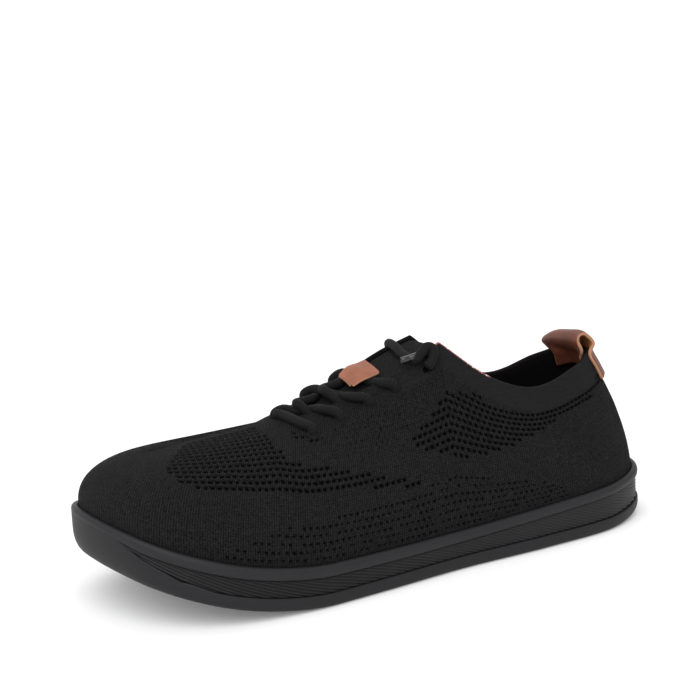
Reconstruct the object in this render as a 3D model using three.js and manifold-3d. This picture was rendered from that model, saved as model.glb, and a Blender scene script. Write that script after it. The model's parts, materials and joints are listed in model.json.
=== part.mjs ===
// Left barefoot shoe with a knitted upper, in millimetres. +X runs to the toe, +Y to the outer side, +Z up.
import * as THREE from 'three';
import { mergeVertices } from 'three/addons/utils/BufferGeometryUtils.js';
import Module from 'manifold-3d';

const wasm = await Module();
wasm.setup();

// Driving sizes of the last and the sole
const soleLength = 284;
const ballWidth = 103;
const sideHeight = 19.6;
const toeSpring = 25.8;
const springStart = 0.66;
const heelLift = 3.6;
const heelLiftEnd = 0.12;
const stationsPerRow = 4;

// Sole build-up
const gap = 0.3;
const lugDepth = 2.2;
const webThickness = 2.3;
const cushionThickness = 3;
const lowerBand = 6.4;
const edgeRound = 3.2;
const toeEdgeRound = 6.5;
const borderWidth = 7;
const borderSlope = 0.6;
const bandLip = 1.6;
const bandGroove = 1.4;
const rimBand = 5.6;
const rimWall = 3;
const rimRound = 1.3;
const rimInset = 0.4;
const panelInset = 0.9;
const ribCount = 4;
const ribDepth = 0.7;
const insoleThickness = 3;
const insoleClearance = 0.4;
const footbed = lugDepth + webThickness + gap + cushionThickness;

// Tread
const lugRoot = 1;
const lugBorder = 13;
const barWidth = 3.4;
const barWave = 3.2;
const waveLength = 13;
const arrowWidth = 12.4;
const arrowDepth = 7;
const arrowPoint = 1.6;
const arrowArm = 5.2;
const arrowSpacing = 1.6;
const arrowPitch = 13.4;
const arrowColumns = 5;

// Where the tread's rows lie, as shares of the sole's length
const toeBars = [0.813, 0.84, 0.866, 0.893, 0.919];
const heelBars = [0.07, 0.099, 0.127];
const arrowsFrom = 0.17;
const arrowsTo = 0.782;

// Upper
const knitWall = 2;
const instepHeight = 98.6;
const vampHeight = 69.2;
const collarBand = 11.6;
const collarStep = 0.6;
const profileSteps = 7;
const laceHoleDiameter = 4.6;
const laceHoleInset = 7;

// Tongue, laces and pull loop
const tongueThickness = 2.4;
const tongueCrown = 0.4;
const patchThickness = 1.1;
const laceDiameter = 4.4;
const laceSides = 6;
const laceSteps = 6;
const knotRadius = 5.6;
const knotRise = 4.2;
const knotLean = 0.8;
const agletLength = 9.5;
const agletDiameter = 3.2;
const loopThickness = 1.6;
const loopClearance = 0.6;
const loopInside = 8;
const loopOutside = 14;
const loopHeight = 11.2;
const loopReach = 9;

// Stations of the last from the heel (0) to the toe (9): where each lies along the sole, the half
// widths on the outer and inner side as shares of the ball width, and the height of the side.
const soleRows = [
  { along: 0, lateral: 0, medial: 0, side: 1.1 },
  { along: 0.02, lateral: 0.156, medial: 0.174, side: 1.1 },
  { along: 0.1, lateral: 0.304, medial: 0.336, side: 1.12 },
  { along: 0.25, lateral: 0.377, medial: 0.363, side: 1.03 },
  { along: 0.42, lateral: 0.419, medial: 0.33, side: 0.92 },
  { along: 0.58, lateral: 0.493, medial: 0.373, side: 0.94 },
  { along: 0.72, lateral: 0.542, medial: 0.459, side: 0.985 },
  { along: 0.85, lateral: 0.513, medial: 0.457, side: 1 },
  { along: 0.945, lateral: 0.347, medial: 0.387, side: 0.975 },
  { along: 1, lateral: -0.085, medial: 0.085, side: 0.94 },
];
const toeStation = soleRows.length - 1;

// Top line of the upper at each station: the collar, then the throat, then the crest of the vamp,
// along the sole, across as shares of the ball width, and up as shares of the instep or vamp height.
const collarEnd = 4;
const throatEnd = 6.25;
const eyestayTop = { at: 4, along: 0.397, lateral: 0.12, medial: 0.16, outerUp: 1, innerUp: 0.985 };
const throatFoot = { at: 6.25, along: 0.652, lateral: -0.038, medial: 0.038, outerUp: 0.722, innerUp: 0.722 };
const vampStart = throatFoot.outerUp * (instepHeight / vampHeight);
const collarRows = [
  { at: 0, along: 0.095, lateral: 0, medial: 0, outerUp: 0.852, innerUp: 0.852 },
  { at: 1, along: 0.104, lateral: 0.09, medial: 0.09, outerUp: 0.847, innerUp: 0.847 },
  { at: 2, along: 0.15, lateral: 0.175, medial: 0.18, outerUp: 0.797, innerUp: 0.797 },
  { at: 3, along: 0.25, lateral: 0.204, medial: 0.21, outerUp: 0.742, innerUp: 0.735 },
  { at: 3.5, along: 0.325, lateral: 0.19, medial: 0.19, outerUp: 0.83, innerUp: 0.82 },
  eyestayTop,
];
const throatRows = [
  eyestayTop,
  { at: 4.5, along: 0.46, lateral: 0.103, medial: 0.145, outerUp: 0.9, innerUp: 0.935 },
  { at: 5, along: 0.53, lateral: 0.085, medial: 0.13, outerUp: 0.825, innerUp: 0.855 },
  { at: 5.5, along: 0.585, lateral: 0.06, medial: 0.118, outerUp: 0.772, innerUp: 0.79 },
  { at: 6, along: 0.632, lateral: 0.018, medial: 0.088, outerUp: 0.733, innerUp: 0.742 },
  throatFoot,
];
const crestRows = [
  { ...throatFoot, outerUp: vampStart, innerUp: vampStart },
  { at: 7, along: 0.73, lateral: -0.044, medial: 0.044, outerUp: 0.993, innerUp: 0.993 },
  { at: 8, along: 0.82, lateral: -0.054, medial: 0.054, outerUp: 0.958, innerUp: 0.958 },
  { at: 9, along: 0.872, lateral: -0.063, medial: 0.063, outerUp: 0.932, innerUp: 0.932 },
];

// Bow of the wall between sole and top line, as shares: how far it rises before it turns in, its bulge
// over the feather line in ball widths, how far it reaches back out below the top line, and its drop.
const bowRows = [
  { at: 0, rise: 0.33, bulge: -0.0175, reach: 0.47, drop: 0.32 },
  { at: 2, rise: 0.36, bulge: -0.008, reach: 0.48, drop: 0.34 },
  { at: 3, rise: 0.4, bulge: 0.006, reach: 0.5, drop: 0.36 },
  { at: 4, rise: 0.34, bulge: 0.008, reach: 0.54, drop: 0.36 },
  { at: 5, rise: 0.42, bulge: 0.01, reach: 0.52, drop: 0.22 },
  { at: 6, rise: 0.5, bulge: 0.0135, reach: 0.52, drop: 0.1 },
  { at: 7, rise: 0.56, bulge: 0.0155, reach: 0.56, drop: 0.04 },
  { at: 8, rise: 0.64, bulge: 0.0115, reach: 0.6, drop: 0.02 },
  { at: 9, rise: 0.67, bulge: 0.006, reach: 0.62, drop: 0 },
];

// Smooth value of one column of a table with rows placed by their station
function column(rows, name, at) {
  const places = rows.map((row, index) => row.at ?? index);
  let index = 0;
  while (index < rows.length - 2 && at > places[index + 1]) index += 1;
  const [x0, x1] = [places[index], places[index + 1]];
  const [y0, y1] = [rows[index][name], rows[index + 1][name]];
  const slope = (a, b) => (rows[b][name] - rows[a][name]) / (places[b] - places[a]);
  const here = slope(index, index + 1);
  const before = index > 0 ? (slope(index - 1, index) + here) / 2 : here;
  const after = index < rows.length - 2 ? (here + slope(index + 1, index + 2)) / 2 : here;
  const t = (at - x0) / (x1 - x0);
  const width = x1 - x0;
  return y0 * (1 + 2 * t) * (1 - t) ** 2 + before * width * t * (1 - t) ** 2
    + y1 * t * t * (3 - 2 * t) + after * width * t * t * (t - 1);
}

// Outline of the sole at its widest line
const outlinePoints = [
  ...soleRows.map((row) => new THREE.Vector3(row.along * soleLength, row.lateral * ballWidth, 0)),
  ...soleRows.slice(1, -1).reverse()
    .map((row) => new THREE.Vector3(row.along * soleLength, -row.medial * ballWidth, 0)),
];
const outline = new THREE.CatmullRomCurve3(outlinePoints, true, 'centripetal');

// One place round the shoe: its station, its side, its point on the outline and the way outward
function place(station, side) {
  const share = station / outlinePoints.length;
  const t = side > 0 ? share : (1 - share) % 1;
  const tangent = outline.getTangent(t);
  return {
    station,
    side,
    point: outline.getPoint(t),
    outward: new THREE.Vector3(tangent.y, -tangent.x, 0).multiplyScalar(-1),
  };
}

// All places round the shoe: up the outer side from the heel, then down the inner side
function placesAround(from = 0, to = toeStation) {
  const count = Math.round((to - from) * stationsPerRow);
  const stations = Array.from({ length: count + 1 }, (_, i) => from + (i * (to - from)) / count);
  return {
    lateral: stations.map((station) => place(station, 1)),
    medial: stations.map((station) => place(station, -1)),
  };
}
const around = placesAround();
const ringPlaces = [...around.lateral, ...around.medial.slice(1, -1).reverse()];

const springShare = (x) => Math.max(0, (x / soleLength - springStart) / (1 - springStart)) ** 1.8;
const heelShare = (x) => Math.max(0, (heelLiftEnd - x / soleLength) / heelLiftEnd) ** 2;
const treadLift = (x) => toeSpring * springShare(x) + heelLift * heelShare(x);
const sideTop = (spot) => treadLift(spot.point.x) + sideHeight * column(soleRows, 'side', spot.station);
const toeShare = (spot) => THREE.MathUtils.smoothstep(spot.station, 7.2, 8.7);
const edgeInset = (spot) => THREE.MathUtils.lerp(edgeRound, toeEdgeRound, toeShare(spot));

// Height of the lower band's top: it climbs round the toe as a bumper
function bandTop(spot) {
  const low = treadLift(spot.point.x) + lowerBand;
  const high = sideTop(spot) - rimBand - bandGroove;
  return THREE.MathUtils.lerp(low, high, toeShare(spot) ** 2);
}

const inset = (spot, depth) => spot.point.clone().addScaledVector(spot.outward, -depth);

// Ring of points: a depth inside the outline, and a height from the tread or from the side
function treadRing(depthOf, up) {
  return ringPlaces.map((spot) => {
    const point = inset(spot, depthOf(spot));
    return point.setZ(treadLift(point.x) + up);
  });
}
function sideRing(depthOf, heightOf) {
  return ringPlaces.map((spot) => inset(spot, depthOf(spot)).setZ(heightOf(spot)));
}
const fixed = (value) => () => value;

// Buffer geometry from points and triangles, with shared corners merged
function indexed(points, triangles) {
  const raw = new THREE.BufferGeometry();
  raw.setAttribute('position', new THREE.Float32BufferAttribute(points.flatMap((p) => [p.x, p.y, p.z]), 3));
  raw.setIndex(triangles.flat());
  return mergeVertices(raw, 1e-4);
}

// Solid from rings that follow each other from the middle of the underside to the middle of the top
function ringSolid(rings) {
  const count = rings[0].length;
  const half = count / 2;
  const points = rings.flat();
  const triangles = [];
  rings.slice(1).forEach((_, level) => {
    for (let i = 0; i < count; i += 1) {
      const next = (i + 1) % count;
      const [a, b] = [level * count + i, level * count + next];
      triangles.push([a, a + count, b], [b, a + count, b + count]);
    }
  });
  const last = (rings.length - 1) * count;
  for (let i = 0; i < half; i += 1) {
    const [a, b] = [i, i + 1];
    const [c, d] = [(count - i) % count, (count - i - 1) % count];
    triangles.push([a, b, d], [a, d, c]);
    triangles.push([last + a, last + d, last + b], [last + a, last + c, last + d]);
  }
  return indexed(points, triangles.filter(([a, b, c]) => a !== b && b !== c && a !== c));
}

function toManifold(geometry) {
  const bare = geometry.clone();
  bare.deleteAttribute('normal');
  bare.deleteAttribute('uv');
  const merged = mergeVertices(bare, 1e-4);
  return new wasm.Manifold(new wasm.Mesh({
    numProp: 3,
    vertProperties: new Float32Array(merged.attributes.position.array),
    triVerts: new Uint32Array(merged.index.array),
  }));
}

function fromManifold(solid) {
  const mesh = solid.getMesh();
  const geometry = new THREE.BufferGeometry();
  geometry.setAttribute('position', new THREE.BufferAttribute(new Float32Array(mesh.vertProperties), 3));
  geometry.setIndex(new THREE.BufferAttribute(new Uint32Array(mesh.triVerts), 1));
  return geometry;
}

// Prism of a flat outline that reaches from the ground line up into the web of the outsole
function lug(corners) {
  const shape = new THREE.Shape(corners.map(([x, y]) => new THREE.Vector2(x, y)));
  const geometry = new THREE.ExtrudeGeometry(shape, { depth: lugDepth + lugRoot, bevelEnabled: false });
  const position = geometry.attributes.position;
  for (let i = 0; i < position.count; i += 1) {
    position.setZ(i, position.getZ(i) + treadLift(position.getX(i)));
  }
  return toManifold(geometry);
}

// Half widths of the sole at a length, less a border
function treadSpan(x, border) {
  const rows = soleRows.map((row) => ({ at: row.along, lateral: row.lateral, medial: row.medial }));
  const share = x / soleLength;
  return {
    from: -column(rows, 'medial', share) * ballWidth + border,
    to: column(rows, 'lateral', share) * ballWidth - border,
  };
}

// Zigzag bar across the tread
function zigzagBar(x) {
  const { from, to } = treadSpan(x, lugBorder + barWave);
  const steps = Math.max(2, Math.round((to - from) / (waveLength / 2)));
  const line = Array.from({ length: steps + 1 }, (_, i) => [
    x + (i % 2 === 0 ? -barWave / 2 : barWave / 2),
    from + ((to - from) * i) / steps,
  ]);
  const front = line.map(([a, b]) => [a + barWidth / 2, b]);
  const back = line.map(([a, b]) => [a - barWidth / 2, b]);
  return lug([...back, ...front.reverse()]);
}

// Arrow lug with its point to the toe
function arrowLug(x, y, width) {
  const back = x - arrowDepth / 2;
  const tip = x + arrowDepth / 2 + arrowPoint;
  return lug([
    [back, y - width / 2],
    [tip, y],
    [back, y + width / 2],
    [tip - arrowArm, y],
  ]);
}

// Ring on the rolled edge of the outsole: a share of the way up to the top of its band
function rollRing(insetShare, share) {
  return sideRing((spot) => edgeInset(spot) * insetShare, (spot) => {
    const base = treadLift(inset(spot, edgeInset(spot)).x);
    return THREE.MathUtils.lerp(base, bandTop(spot), share);
  });
}

function outsoleSolid() {
  const base = toManifold(ringSolid([
    treadRing((spot) => edgeInset(spot) + borderWidth + borderSlope, lugDepth),
    treadRing((spot) => edgeInset(spot) + borderWidth, 0),
    treadRing(edgeInset, 0),
    rollRing(0.3, 0.3),
    rollRing(0, 0.66),
    sideRing(fixed(gap), bandTop),
    sideRing(fixed(bandLip), bandTop),
    treadRing(fixed(bandLip), lugDepth + webThickness),
  ]));
  const lugs = [...toeBars, ...heelBars].map((share) => zigzagBar(share * soleLength));
  for (let x = arrowsFrom * soleLength; x <= arrowsTo * soleLength; x += arrowPitch) {
    const { from, to } = treadSpan(x, lugBorder - arrowSpacing / 2);
    const pitch = (to - from) / arrowColumns;
    for (let i = 0; i < arrowColumns; i += 1) {
      lugs.push(arrowLug(x, from + pitch * (i + 0.5), Math.min(arrowWidth, pitch - arrowSpacing)));
    }
  }
  return fromManifold(lugs.reduce((sum, piece) => sum.add(piece), base));
}

function midsoleSolid() {
  const inner = bandLip + gap;
  const ribStart = (spot) => bandTop(spot) + gap;
  const ribEnd = (spot) => sideTop(spot) - rimBand;
  const ribs = [];
  for (let i = 0; i < ribCount; i += 1) {
    const valley = (i + 0.06) / ribCount;
    const peak = (i + 0.55) / ribCount;
    ribs.push([valley, panelInset + ribDepth], [peak, panelInset]);
  }
  ribs.push([1, panelInset + ribDepth]);
  const ribRings = ribs.map(([share, depth]) => sideRing(
    fixed(depth),
    (spot) => THREE.MathUtils.lerp(ribStart(spot), ribEnd(spot), share),
  ));
  return ringSolid([
    treadRing(fixed(inner), footbed - cushionThickness),
    sideRing(fixed(inner), ribStart),
    ...ribRings,
    sideRing(fixed(rimInset), (spot) => sideTop(spot) - rimBand + ribDepth),
    sideRing(fixed(rimInset), (spot) => sideTop(spot) - rimRound * 1.7),
    sideRing(fixed(rimRound), (spot) => sideTop(spot) - rimRound * 0.4),
    sideRing(fixed(rimWall), sideTop),
    treadRing(fixed(rimWall), footbed),
  ]);
}

function insoleSolid() {
  const edge = rimWall + gap + knitWall + insoleClearance;
  return ringSolid([
    treadRing(fixed(edge), footbed + gap),
    treadRing(fixed(edge), footbed + gap + insoleThickness),
  ]);
}

// Point of the top line over a place
function topPoint(spot) {
  const rows = spot.station <= collarEnd ? collarRows : spot.station <= throatEnd ? throatRows : crestRows;
  const unit = spot.station <= throatEnd ? instepHeight : vampHeight;
  const across = spot.side > 0
    ? column(rows, 'lateral', spot.station)
    : -column(rows, 'medial', spot.station);
  const up = column(rows, spot.side > 0 ? 'outerUp' : 'innerUp', spot.station);
  return new THREE.Vector3(column(rows, 'along', spot.station) * soleLength, across * ballWidth, up * unit);
}

// Curve of the upper's outer face from the feather line to the top line at a place
function wallCurve(spot) {
  const foot = inset(spot, rimWall + gap).setZ(sideTop(spot));
  const top = topPoint(spot);
  const rise = top.z - foot.z;
  const flat = foot.clone().sub(top).setZ(0);
  const bow = (name) => column(bowRows, name, spot.station);
  const bulge = bow('bulge') * ballWidth;
  const low = foot.clone().addScaledVector(spot.outward, bulge).setZ(foot.z + rise * bow('rise'));
  const high = top.clone().addScaledVector(flat, bow('reach')).setZ(top.z - rise * bow('drop'));
  return new THREE.CubicBezierCurve3(foot, low, high, top);
}

const collarShare = (spot) => 1 - THREE.MathUtils.smoothstep(spot.station, collarEnd, collarEnd + 1);

// Points of the outer face at a place, from the cup's floor to the top line, with the collar's step
function wallPoints(spot) {
  const curve = wallCurve(spot);
  const length = curve.getLength();
  const root = inset(spot, rimWall + gap);
  root.setZ(treadLift(root.x) + footbed + gap);
  const bandStart = length - collarBand;
  const distances = Array.from({ length: profileSteps }, (_, i) => (bandStart * i) / (profileSteps - 1));
  distances.push(bandStart + collarStep * 1.2, bandStart + collarBand / 2, length);
  return [root, ...distances.map((distance) => curve.getPointAt(Math.min(1, distance / length)))];
}

// The upper's faces as grids: outer face, and the inner face a wall's thickness inside it
const lateralWalls = around.lateral.map(wallPoints);
const medialWalls = around.medial.map(wallPoints);
const wallRows = lateralWalls[0].length;

function wallGrid() {
  const wallRing = [...lateralWalls, ...medialWalls.slice(1, -1).reverse()];
  const count = wallRing.length;
  const points = wallRing.flat();
  const triangles = [];
  for (let i = 0; i < count; i += 1) {
    for (let j = 0; j < wallRows - 1; j += 1) {
      const [a, b] = [i * wallRows + j, ((i + 1) % count) * wallRows + j];
      triangles.push([a, a + 1, b], [b, a + 1, b + 1]);
    }
  }
  return { points, triangles, count };
}

// Normals of the outer face, equal where the two sides meet along the crest
function gridNormals(grid) {
  const normals = grid.points.map(() => new THREE.Vector3());
  const [ab, ac] = [new THREE.Vector3(), new THREE.Vector3()];
  grid.triangles.forEach(([a, b, c]) => {
    ab.subVectors(grid.points[b], grid.points[a]);
    ac.subVectors(grid.points[c], grid.points[a]);
    const face = ab.clone().cross(ac);
    [a, b, c].forEach((index) => normals[index].add(face));
  });
  const shared = new Map();
  grid.points.forEach((point, index) => {
    const key = point.toArray().map((value) => value.toFixed(2)).join();
    if (!shared.has(key)) shared.set(key, new THREE.Vector3());
    shared.get(key).add(normals[index]);
  });
  return grid.points.map((point) => {
    const key = point.toArray().map((value) => value.toFixed(2)).join();
    return shared.get(key).clone().normalize();
  });
}

const grid = wallGrid();
const normals = gridNormals(grid);
const gridSpot = (index) => ringPlaces[Math.floor(index / wallRows)];
const inBand = (index) => index % wallRows >= wallRows - 3;

function outerPoint(index) {
  const step = inBand(index) ? collarStep * collarShare(gridSpot(index)) : 0;
  return grid.points[index].clone().addScaledVector(normals[index], step);
}
function innerPoint(index, extra = 0) {
  const point = grid.points[index].clone();
  const root = index % wallRows === 0;
  if (root) return point.addScaledVector(gridSpot(index).outward, -knitWall);
  return point.addScaledVector(normals[index], -knitWall - extra);
}

function upperShell() {
  const size = grid.points.length;
  const points = [
    ...grid.points.map((_, index) => outerPoint(index)),
    ...grid.points.map((_, index) => innerPoint(index)),
  ];
  const triangles = grid.triangles.map(([a, b, c]) => [a, b, c]);
  grid.triangles.forEach(([a, b, c]) => triangles.push([a + size, c + size, b + size]));
  for (let i = 0; i < grid.count; i += 1) {
    const next = (i + 1) % grid.count;
    const [low, lowNext] = [i * wallRows, next * wallRows];
    triangles.push([low, lowNext, low + size], [lowNext, lowNext + size, low + size]);
    const crest = Math.min(ringPlaces[i].station, ringPlaces[next].station) >= throatEnd;
    if (crest) continue;
    const [top, topNext] = [low + wallRows - 1, lowNext + wallRows - 1];
    triangles.push([top, top + size, topNext], [topNext, top + size, topNext + size]);
  }
  return indexed(points, triangles);
}

// Frame on the outer face: a point a distance down from the top line, its normal, the way up the
// wall and the way along it to the toe
function wallSpot(station, side, down) {
  const curveAt = (value) => wallCurve(place(Math.abs(value), value < 0 ? -side : side));
  const pointAt = (curve) => curve.getPointAt(1 - down / curve.getLength());
  const curve = curveAt(station);
  const up = curve.getTangentAt(1 - down / curve.getLength());
  const along = pointAt(curveAt(station + 0.02)).sub(pointAt(curveAt(station - 0.02))).normalize();
  const normal = along.clone().cross(up).multiplyScalar(-side).normalize();
  return { point: pointAt(curve), normal, up, along };
}

// Stations of the five pairs of lace holes, from the toe end up
const laceStations = [6, 5.45, 5, 4.62, 4.2];

function laceHole(station, side) {
  const { point, normal } = wallSpot(station, side, laceHoleInset);
  const depth = knitWall * 4;
  const geometry = new THREE.CylinderGeometry(laceHoleDiameter / 2, laceHoleDiameter / 2, depth, 6);
  geometry.applyQuaternion(new THREE.Quaternion().setFromUnitVectors(new THREE.Vector3(0, 1, 0), normal));
  geometry.translate(point.x, point.y, point.z);
  return toManifold(geometry);
}

function upperSolid() {
  const holes = laceStations.flatMap((station) => [laceHole(station, 1), laceHole(station, -1)]);
  return fromManifold(holes.reduce((rest, hole) => rest.subtract(hole), toManifold(upperShell())));
}

// Tongue: a sheet under the throat, from in front of its end up to the top of the eyestays. Its edges
// follow the inner face of the upper, and it bridges the throat between them.
const tongueFrom = 6.75;
const tongueBridge = [0.25, 0.5, 0.75];
const crownAt = (station) => tongueCrown
  * THREE.MathUtils.smoothstep(throatEnd - station, 0, 0.8)
  * THREE.MathUtils.smoothstep(station, collarEnd - 0.3, collarEnd + 0.6);

function bridge(station, outer, inner, share) {
  const point = outer.clone().lerp(inner, share);
  point.z += crownAt(station) * Math.sin(Math.PI * share);
  return point;
}

function tongueSection(station) {
  const step = Math.round(station * stationsPerRow);
  const inside = (lap, back) => innerPoint(lap * wallRows + wallRows - 1 - back, gap * 1.5);
  const [outer, inner] = [step, ringPlaces.length - step]
    .map((lap) => [2, 1, 0].map((back) => inside(lap, back)));
  if (station < throatEnd) {
    const middle = tongueBridge.map((share) => bridge(station, outer[2], inner[2], share));
    return [...outer, ...middle, ...inner.reverse()];
  }
  const thirds = (side) => [1, 2].map((part) => side[1].clone().lerp(side[2], part / 3));
  return [
    outer[0], outer[1], ...thirds(outer), outer[2], ...thirds(inner).reverse(), inner[1], inner[0],
  ];
}

// Closed sheet from rows of points on its outer face and a thickness below it
function sheetSolid(sections, thickness) {
  const [rowCount, columnCount] = [sections.length, sections[0].length];
  const outer = sections.flat();
  const index = (i, j) => i * columnCount + j;
  const pick = (i, j) => sections[THREE.MathUtils.clamp(i, 0, rowCount - 1)][
    THREE.MathUtils.clamp(j, 0, columnCount - 1)];
  const inner = sections.flatMap((section, i) => section.map((point, j) => {
    const down = pick(i + 1, j).clone().sub(pick(i - 1, j));
    const across = pick(i, j + 1).clone().sub(pick(i, j - 1));
    return point.clone().addScaledVector(down.cross(across).normalize(), -thickness);
  }));
  const size = outer.length;
  const triangles = [];
  for (let i = 0; i < rowCount - 1; i += 1) {
    for (let j = 0; j < columnCount - 1; j += 1) {
      const [a, b, c, d] = [index(i, j), index(i + 1, j), index(i + 1, j + 1), index(i, j + 1)];
      const across = j < columnCount / 2 ? [[a, b, d], [b, c, d]] : [[a, b, c], [a, c, d]];
      across.forEach(([p, q, r]) => triangles.push([p, q, r], [p + size, r + size, q + size]));
    }
  }
  const rim = [
    ...Array.from({ length: rowCount - 1 }, (_, i) => index(i, 0)),
    ...Array.from({ length: columnCount - 1 }, (_, j) => index(rowCount - 1, j)),
    ...Array.from({ length: rowCount - 1 }, (_, i) => index(rowCount - 1 - i, columnCount - 1)),
    ...Array.from({ length: columnCount - 1 }, (_, j) => index(0, columnCount - 1 - j)),
  ];
  rim.forEach((a, i) => {
    const b = rim[(i + 1) % rim.length];
    triangles.push([a, a + size, b], [b, a + size, b + size]);
  });
  return indexed([...outer, ...inner], triangles);
}

function tongueSolid() {
  const count = Math.round((tongueFrom - collarEnd) * stationsPerRow);
  const stations = Array.from({ length: count + 1 }, (_, i) => tongueFrom - i / stationsPerRow);
  return sheetSolid(stations.map(tongueSection), tongueThickness);
}

// Face of the tongue between the eyestays at any station, an offset above it
function tongueFace(station, share, above) {
  const [outer, inner] = [1, -1].map((side) => {
    const spot = wallSpot(station, side, 0);
    return spot.point.addScaledVector(spot.normal, -knitWall - gap);
  });
  const point = bridge(station, outer, inner, share);
  point.z += above;
  return point;
}

// Leather patch that keeps the laces over the tongue: shares across the throat and stations along it
const patchStations = [5.16, 4.98, 4.8, 4.64];
const patchShares = [0.27, 0.5, 0.73];

function patchSolid() {
  const above = bridgeLie + laceDiameter / 2 + gap * 3 + patchThickness;
  const rows = patchStations.map((station) => patchShares.map((share) => tongueFace(station, share, above)));
  return sheetSolid(rows, patchThickness);
}

function tube(points, diameter, steps, sides) {
  const path = new THREE.CatmullRomCurve3(points, false, 'centripetal');
  const shape = new THREE.Shape(Array.from({ length: sides }, (_, i) => {
    const angle = (2 * Math.PI * i) / sides;
    return new THREE.Vector2(Math.cos(angle), Math.sin(angle)).multiplyScalar(diameter / 2);
  }));
  return new THREE.ExtrudeGeometry(shape, { steps, extrudePath: path, bevelEnabled: false });
}

// Height of a lace's middle over what it lies on
const lie = laceDiameter / 2 + gap * 2;
const holeLie = 1.6;
const bridgeLie = lie + knitWall;

// Lace's middle over a place on the wall, a distance down from the top line
function laceOver(station, side, down, more = 0) {
  const spot = wallSpot(station, side, down);
  return spot.point.addScaledVector(spot.normal, lie + more);
}

// Crossing of the lace from a hole on one side to a hole on the other, over the throat
function crossing(from, to, side) {
  const stationAt = (share) => Math.min(THREE.MathUtils.lerp(from, to, share), throatEnd - 0.05);
  const middle = [0.3, 0.5, 0.7].map((share) => {
    const along = THREE.MathUtils.lerp(0.15, 0.85, share);
    return tongueFace(stationAt(along), side > 0 ? share : 1 - share, bridgeLie);
  });
  return [
    laceOver(from, side, laceHoleInset, holeLie),
    laceOver(stationAt(0.12), side, 1.5, holeLie),
    ...middle,
    laceOver(stationAt(0.88), -side, 1.5, holeLie),
    laceOver(to, -side, laceHoleInset, holeLie),
  ];
}

function laceCrossings() {
  const strands = [crossing(laceStations[0], laceStations[0], 1)];
  for (let i = 0; i < laceStations.length - 2; i += 1) {
    strands.push(crossing(laceStations[i], laceStations[i + 1], 1));
    strands.push(crossing(laceStations[i], laceStations[i + 1], -1));
  }
  const solids = strands.map((points) => toManifold(tube(points, laceDiameter, laceSteps, laceSides)));
  return fromManifold(solids.reduce((sum, solid) => sum.add(solid)));
}

// Point beside the top lace hole of the outer side: forward, up the wall and out from it
function besideTopHole(forward, up, out) {
  const spot = wallSpot(laceStations[4], 1, laceHoleInset);
  return spot.point.clone()
    .addScaledVector(spot.along, forward)
    .addScaledVector(spot.up, up)
    .addScaledVector(spot.normal, out);
}

// Upper end of the lace: a ring on the outer side that runs on over the tongue to the inner side
const knotTurn = [180, 150, 120, 90, 60, 30, 5];

function laceLoopPath() {
  const ring = knotTurn.map((degrees) => {
    const angle = THREE.MathUtils.degToRad(degrees);
    const lean = knotLean * (1 + Math.cos(angle));
    return besideTopHole(
      -knotRadius * Math.sin(angle),
      knotRise + knotRadius * Math.cos(angle),
      lie + lean,
    );
  });
  const top = laceStations[4];
  return [
    ...ring,
    laceOver(top + 0.09, 1, 0, 2.4),
    tongueFace(top + 0.14, 0.35, bridgeLie),
    tongueFace(top + 0.1, 0.7, bridgeLie),
    laceOver(top + 0.05, -1, 0.5, 2),
    laceOver(top, -1, laceHoleInset, holeLie),
  ];
}

// The lace's tip comes up in the ring and points to the toe, with its aglet
const tipSlope = 0.04;
const tipFrom = { forward: 0.4, up: knotRise - 1, out: 3.4 };
const tipStub = 3.4;
const tipAt = (distance) => besideTopHole(
  tipFrom.forward + distance,
  tipFrom.up + distance * tipSlope,
  tipFrom.out + distance * 0.12,
);
const laceTipPath = () => [0, tipStub / 2, tipStub].map(tipAt);

function agletSolid() {
  const from = tipAt(tipStub + gap);
  const axis = tipAt(tipStub + gap + 1).sub(from).normalize();
  const geometry = new THREE.CylinderGeometry(agletDiameter / 2, agletDiameter / 2, agletLength, 10);
  geometry.applyQuaternion(new THREE.Quaternion().setFromUnitVectors(new THREE.Vector3(0, 1, 0), axis));
  const center = from.addScaledVector(axis, agletLength / 2);
  return geometry.translate(center.x, center.y, center.z);
}

// Pull loop: a leather strap from inside the collar, over, and down the back of the heel. Its arch is
// given from the collar's top line, forward and up, as shares of the loop's reach and height.
const loopStations = [1.25, 0.75, 0.25, -0.25, -0.75, -1.25];
const loopArch = [
  { forward: 0.8, up: 0.23 },
  { forward: 1, up: 0.625 },
  { forward: 0.89, up: 0.91 },
  { forward: 0.51, up: 1 },
  { forward: 0.16, up: 0.82 },
  { forward: -0.16, up: 0.45 },
];
const loopTilt = { forward: 0.35, up: -0.36 };
const loopBase = 0.75;

function pullLoopSolid() {
  const ridge = wallSpot(loopBase, 1, 0).point.x;
  const columns = loopStations.map((station) => {
    const side = station > 0 ? 1 : -1;
    const spots = (down) => wallSpot(Math.abs(station), side, down);
    const inside = [loopInside, 0.5].map((down) => {
      const { point, normal } = spots(down);
      return point.addScaledVector(normal, -knitWall - loopClearance - loopThickness);
    });
    const top = spots(0).point;
    const toInner = (loopStations[0] - station) / (2 * loopStations[0]);
    const arch = loopArch.map(({ forward, up }) => new THREE.Vector3(
      ridge + forward * loopReach * (1 + loopTilt.forward * toInner),
      top.y,
      top.z + up * loopHeight * (1 + loopTilt.up * toInner),
    ));
    const outside = [0.5, loopOutside / 2, loopOutside].map((down) => {
      const { point, normal } = spots(down);
      return point.addScaledVector(normal, collarStep + loopClearance + loopThickness);
    });
    return [...inside, ...arch, ...outside];
  });
  const rows = columns[0].map((_, row) => columns.map((points) => points[row]));
  return sheetSolid(rows, loopThickness);
}

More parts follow.
